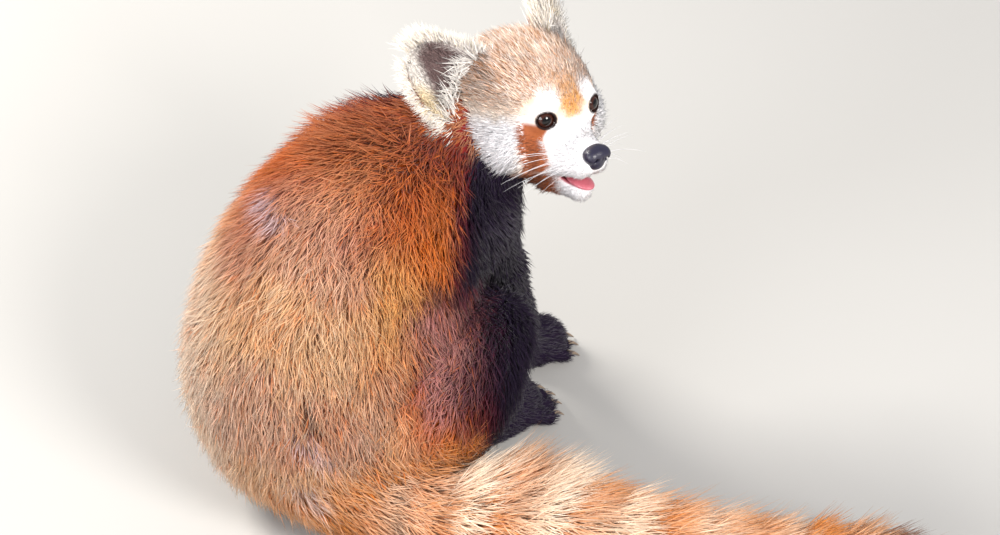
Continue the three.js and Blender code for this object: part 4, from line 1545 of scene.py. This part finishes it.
def spike_tree(name, around, along):
    """Round spikes that taper and bend down, one at each point of a mesh and along its aim."""
    tree = bpy.data.node_groups.new(name, "GeometryNodeTree")
    sockets = tree.interface
    sockets.new_socket("Geometry", in_out="INPUT", socket_type="NodeSocketGeometry")
    for label in ("Length", "Root radius", "Tip radius", "Droop", "Shortest share"):
        sockets.new_socket(label, in_out="INPUT", socket_type="NodeSocketFloat")
    sockets.new_socket("Seed", in_out="INPUT", socket_type="NodeSocketInt")
    sockets.new_socket("Finish", in_out="INPUT", socket_type="NodeSocketMaterial")
    sockets.new_socket("Geometry", in_out="OUTPUT", socket_type="NodeSocketGeometry")
    given = add_node(tree, "NodeGroupInput").outputs
    half = add_node(
        tree, "ShaderNodeMath", {"operation": "MULTIPLY"}, {0: given["Length"], 1: 0.5}
    )
    bend = add_node(
        tree, "ShaderNodeMath", {"operation": "MULTIPLY"}, {0: given["Length"], 1: given["Droop"]}
    )
    middle = add_node(tree, "ShaderNodeCombineXYZ", inputs={"Z": half.outputs[0]})
    end = add_node(
        tree, "ShaderNodeCombineXYZ", inputs={"X": bend.outputs[0], "Z": given["Length"]}
    )
    path = add_node(
        tree,
        "GeometryNodeCurveQuadraticBezier",
        inputs={
            "Resolution": along,
            "Start": (0.0, 0.0, 0.0),
            "Middle": middle.outputs[0],
            "End": end.outputs[0],
        },
    )
    share = add_node(tree, "GeometryNodeSplineParameter")
    radius = add_node(
        tree,
        "ShaderNodeMapRange",
        inputs={
            "Value": share.outputs["Factor"],
            "To Min": given["Root radius"],
            "To Max": given["Tip radius"],
        },
    )
    section = add_node(
        tree, "GeometryNodeCurvePrimitiveCircle", inputs={"Resolution": around, "Radius": 1.0}
    )
    spike = add_node(
        tree,
        "GeometryNodeCurveToMesh",
        inputs={
            "Curve": path.outputs["Curve"],
            "Profile Curve": section.outputs["Curve"],
            "Scale": radius.outputs["Result"],
            "Fill Caps": True,
        },
    )
    aim = add_node(
        tree, "GeometryNodeInputNamedAttribute", {"data_type": "FLOAT_VECTOR"}, {"Name": "aim"}
    )
    pointed = add_node(
        tree,
        "FunctionNodeAlignRotationToVector",
        {"axis": "Z"},
        {"Vector": aim.outputs["Attribute"]},
    )
    hanging = add_node(
        tree,
        "FunctionNodeAlignRotationToVector",
        {"axis": "X", "pivot_axis": "Z"},
        {"Rotation": pointed.outputs["Rotation"], "Vector": (0.0, 0.0, -1.0)},
    )
    size = add_node(
        tree,
        "FunctionNodeRandomValue",
        {"data_type": "FLOAT"},
        {2: given["Shortest share"], 3: 1.0, "Seed": given["Seed"]},
    )
    spread = add_node(
        tree,
        "GeometryNodeInstanceOnPoints",
        inputs={
            "Points": given["Geometry"],
            "Instance": spike.outputs["Mesh"],
            "Rotation": hanging.outputs["Rotation"],
            "Scale": size.outputs[1],
        },
    )
    real = add_node(
        tree, "GeometryNodeRealizeInstances", inputs={"Geometry": spread.outputs["Instances"]}
    )
    smooth = add_node(
        tree, "GeometryNodeSetShadeSmooth", inputs={"Geometry": real.outputs["Geometry"]}
    )
    finished = add_node(
        tree,
        "GeometryNodeSetMaterial",
        inputs={"Geometry": smooth.outputs["Geometry"], "Material": given["Finish"]},
    )
    add_node(tree, "NodeGroupOutput", inputs={"Geometry": finished.outputs["Geometry"]})
    return tree


def spikes(name, roots, aims, tree, sizes):
    """A mesh of spikes at the roots, in millimetres, from the tree and its named inputs."""
    mesh = bpy.data.meshes.new(name)
    mesh.from_pydata([tuple(0.001 * np.array(root)) for root in roots], [], [])
    aim = mesh.attributes.new("aim", "FLOAT_VECTOR", "POINT")
    aim.data.foreach_set("vector", unit(np.array(aims)).astype(np.float32).ravel())
    made = bpy.data.objects.new(name, mesh)
    bpy.context.scene.collection.objects.link(made)
    growth = made.modifiers.new("growth", "NODES")
    growth.node_group = tree
    for item in tree.interface.items_tree:
        if item.in_out == "INPUT" and item.name in sizes:
            growth[item.identifier] = sizes[item.name]
    evaluated = made.evaluated_get(bpy.context.evaluated_depsgraph_get())
    finished = bpy.data.meshes.new_from_object(evaluated)
    made.modifiers.remove(growth)
    made.data = finished
    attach(made, "root")
    return made


# Horn, worn smooth: brown-grey, mottled in patches about 2 mm across, with a soft shine.
horn, tree = new_material("worn_claw_horn")
place = add_node(tree, "ShaderNodeTexCoord")
mottling = add_node(
    tree,
    "ShaderNodeTexNoise",
    inputs={"Vector": place.outputs["Object"], "Scale": 600.0, "Detail": 3.0},
)
tint = add_node(
    tree,
    "ShaderNodeMix",
    {"data_type": "RGBA"},
    {
        0: mottling.outputs["Fac"],
        6: (*linear("#5a4a40"), 1.0),
        7: (*linear("#a8937c"), 1.0),
    },
)
shader = add_node(
    tree,
    "ShaderNodeBsdfPrincipled",
    inputs={"Base Color": tint.outputs[2], "Roughness": 0.35, "IOR": 1.54},
)
add_node(tree, "ShaderNodeOutputMaterial", inputs={"Surface": shader.outputs["BSDF"]})

claw_roots, claw_aims = [], []
for side in (LEFT, RIGHT):
    for joint, turned, sizes in (
        (ANKLE[side], HIND_FOOT[side], HIND_FOOT_SIZES),
        (WRIST[side], FOREPAW[side], FOREPAW_SIZES),
    ):
        for aside, reach in toe_tips(**sizes):
            toe = sizes["toe"]
            claw_roots.append(on_foot(joint, turned, reach + 0.45 * toe, aside * 1.06, 1.15 * toe))
            claw_aims.append(turned[0] + np.array([0.0, 0.0, -0.3]))
spikes(
    "claws",
    claw_roots,
    claw_aims,
    spike_tree("curved claws", 10, 8),
    {
        "Length": CLAW_LENGTH,
        "Root radius": CLAW_RADIUS,
        "Tip radius": CLAW_TIP_RADIUS,
        "Droop": 0.35,
        "Shortest share": 0.9,
        "Seed": 3,
        "Finish": horn,
    },
)

# Whiskers
# Long stiff white hairs in four rows on both sides of the muzzle.
# Each tapers from a root in the lip to a fine tip that bends down.

# Whisker keratin: white and slightly glossy, a little greyer in patches a few millimetres long.
bristle, tree = new_material("white_whisker_keratin")
place = add_node(tree, "ShaderNodeTexCoord")
patches = add_node(
    tree,
    "ShaderNodeTexNoise",
    inputs={"Vector": place.outputs["Object"], "Scale": 200.0},
)
tint = add_node(
    tree,
    "ShaderNodeMix",
    {"data_type": "RGBA"},
    {
        0: patches.outputs["Fac"],
        6: (*linear("#ffffff"), 1.0),
        7: (*linear("#d8d6dc"), 1.0),
    },
)
shader = add_node(
    tree,
    "ShaderNodeBsdfPrincipled",
    inputs={"Base Color": tint.outputs[2], "Roughness": 0.3},
)
add_node(tree, "ShaderNodeOutputMaterial", inputs={"Surface": shader.outputs["BSDF"]})

WHISKER_SETTLING = 3
WHISKER_ROWS = 4
WHISKER_COLUMNS = 3
WHISKER_LENGTH = 0.05
WHISKER_RADIUS = 0.00024
WHISKER_TIP_RADIUS = 0.00006
whisker_dice = np.random.default_rng(71)
whisker_roots, whisker_aims = [], []
for side in (LEFT, RIGHT):
    for row in range(WHISKER_ROWS):
        for column in range(WHISKER_COLUMNS):
            start = on_head(14 - 5.5 * column, side * (13 + 1.5 * column), -26 - 3.4 * row)[None]
            for _ in range(WHISKER_SETTLING):
                start = start - head_field(start)[:, None] * slope(head_field, start)
            back = 0.15 + 0.16 * column + whisker_dice.normal(0, 0.06)
            drop = 0.14 * row - 0.2 + whisker_dice.normal(0, 0.06)
            whisker_roots.append(start[0])
            whisker_aims.append(np.array([-back, side * 0.9, -drop]) @ HEAD)
spikes(
    "whiskers",
    whisker_roots,
    whisker_aims,
    spike_tree("tapered whiskers", 5, 10),
    {
        "Length": WHISKER_LENGTH,
        "Root radius": WHISKER_RADIUS,
        "Tip radius": WHISKER_TIP_RADIUS,
        "Droop": 0.22,
        "Shortest share": 0.55,
        "Seed": 8,
        "Finish": bristle,
    },
)

# Floor, lights and camera
# A plain pale floor under soft studio lamps, seen from the height and side of the picture.
# Three broad lamps and a pale sky light the model, so that its shadows are soft.

floor_material, tree = new_material("pale_matt_floor")
shader = add_node(
    tree,
    "ShaderNodeBsdfPrincipled",
    inputs={"Base Color": (0.5, 0.49, 0.47, 1.0), "Roughness": 0.9},
)
add_node(tree, "ShaderNodeOutputMaterial", inputs={"Surface": shader.outputs["BSDF"]})
FLOOR_HALF = 9000
corners = FLOOR_HALF * np.array([(-1, -1, 0), (1, -1, 0), (1, 1, 0), (-1, 1, 0)])
floor = piece("floor", corners, np.array([[0, 1, 2, 3]]), floor_material)
floor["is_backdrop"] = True


def lamp(name, place, aim, size, watts, colour):
    """A round soft lamp, turned to its aim."""
    light = bpy.data.lights.new(name, "AREA")
    light.shape = "DISK"
    light.size = size
    light.energy = watts
    light.color = colour
    made = bpy.data.objects.new(name, light)
    made.location = place
    made.rotation_euler = (Vector(aim) - Vector(place)).to_track_quat("-Z", "Y").to_euler()
    bpy.context.scene.collection.objects.link(made)


MODEL_MIDDLE = (0.08, 0.03, 0.12)
SKY_STRENGTH = 0.48
lamp("key", (1.5, -1.7, 1.7), MODEL_MIDDLE, size=1.1, watts=80, colour=(1.0, 0.97, 0.94))
lamp("back", (-1.4, 1.0, 1.5), MODEL_MIDDLE, size=0.8, watts=58, colour=(1.0, 0.96, 0.9))
lamp("fill", (-1.6, -1.6, 1.1), MODEL_MIDDLE, size=1.4, watts=40, colour=(0.97, 0.98, 1.0))
world = bpy.data.worlds.new("studio")
bpy.context.scene.world = world
world.use_nodes = True
sky = world.node_tree.nodes["Background"]
sky.inputs["Color"].default_value = (0.9, 0.93, 1.0, 1.0)
sky.inputs["Strength"].default_value = SKY_STRENGTH
bpy.context.scene.view_settings.view_transform = "Standard"

CAMERA_PLACE = (0.115, -1.989, 1.752)
CAMERA_AIM = (0.115, 0.060, 0.151)
SENSOR_WIDTH = 36.0
LENS = 126.4
camera_data = bpy.data.cameras.new("camera")
camera_data.sensor_width = SENSOR_WIDTH
camera_data.lens = LENS
camera = bpy.data.objects.new("camera", camera_data)
camera.location = CAMERA_PLACE
camera.rotation_euler = (
    (Vector(CAMERA_AIM) - Vector(CAMERA_PLACE)).to_track_quat("-Z", "Y").to_euler()
)
bpy.context.scene.collection.objects.link(camera)
bpy.context.scene.camera = camera

low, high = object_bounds()
sizes = {"cad": [list(cad_low), list(cad_high)], "visual": [list(low), list(high)]}
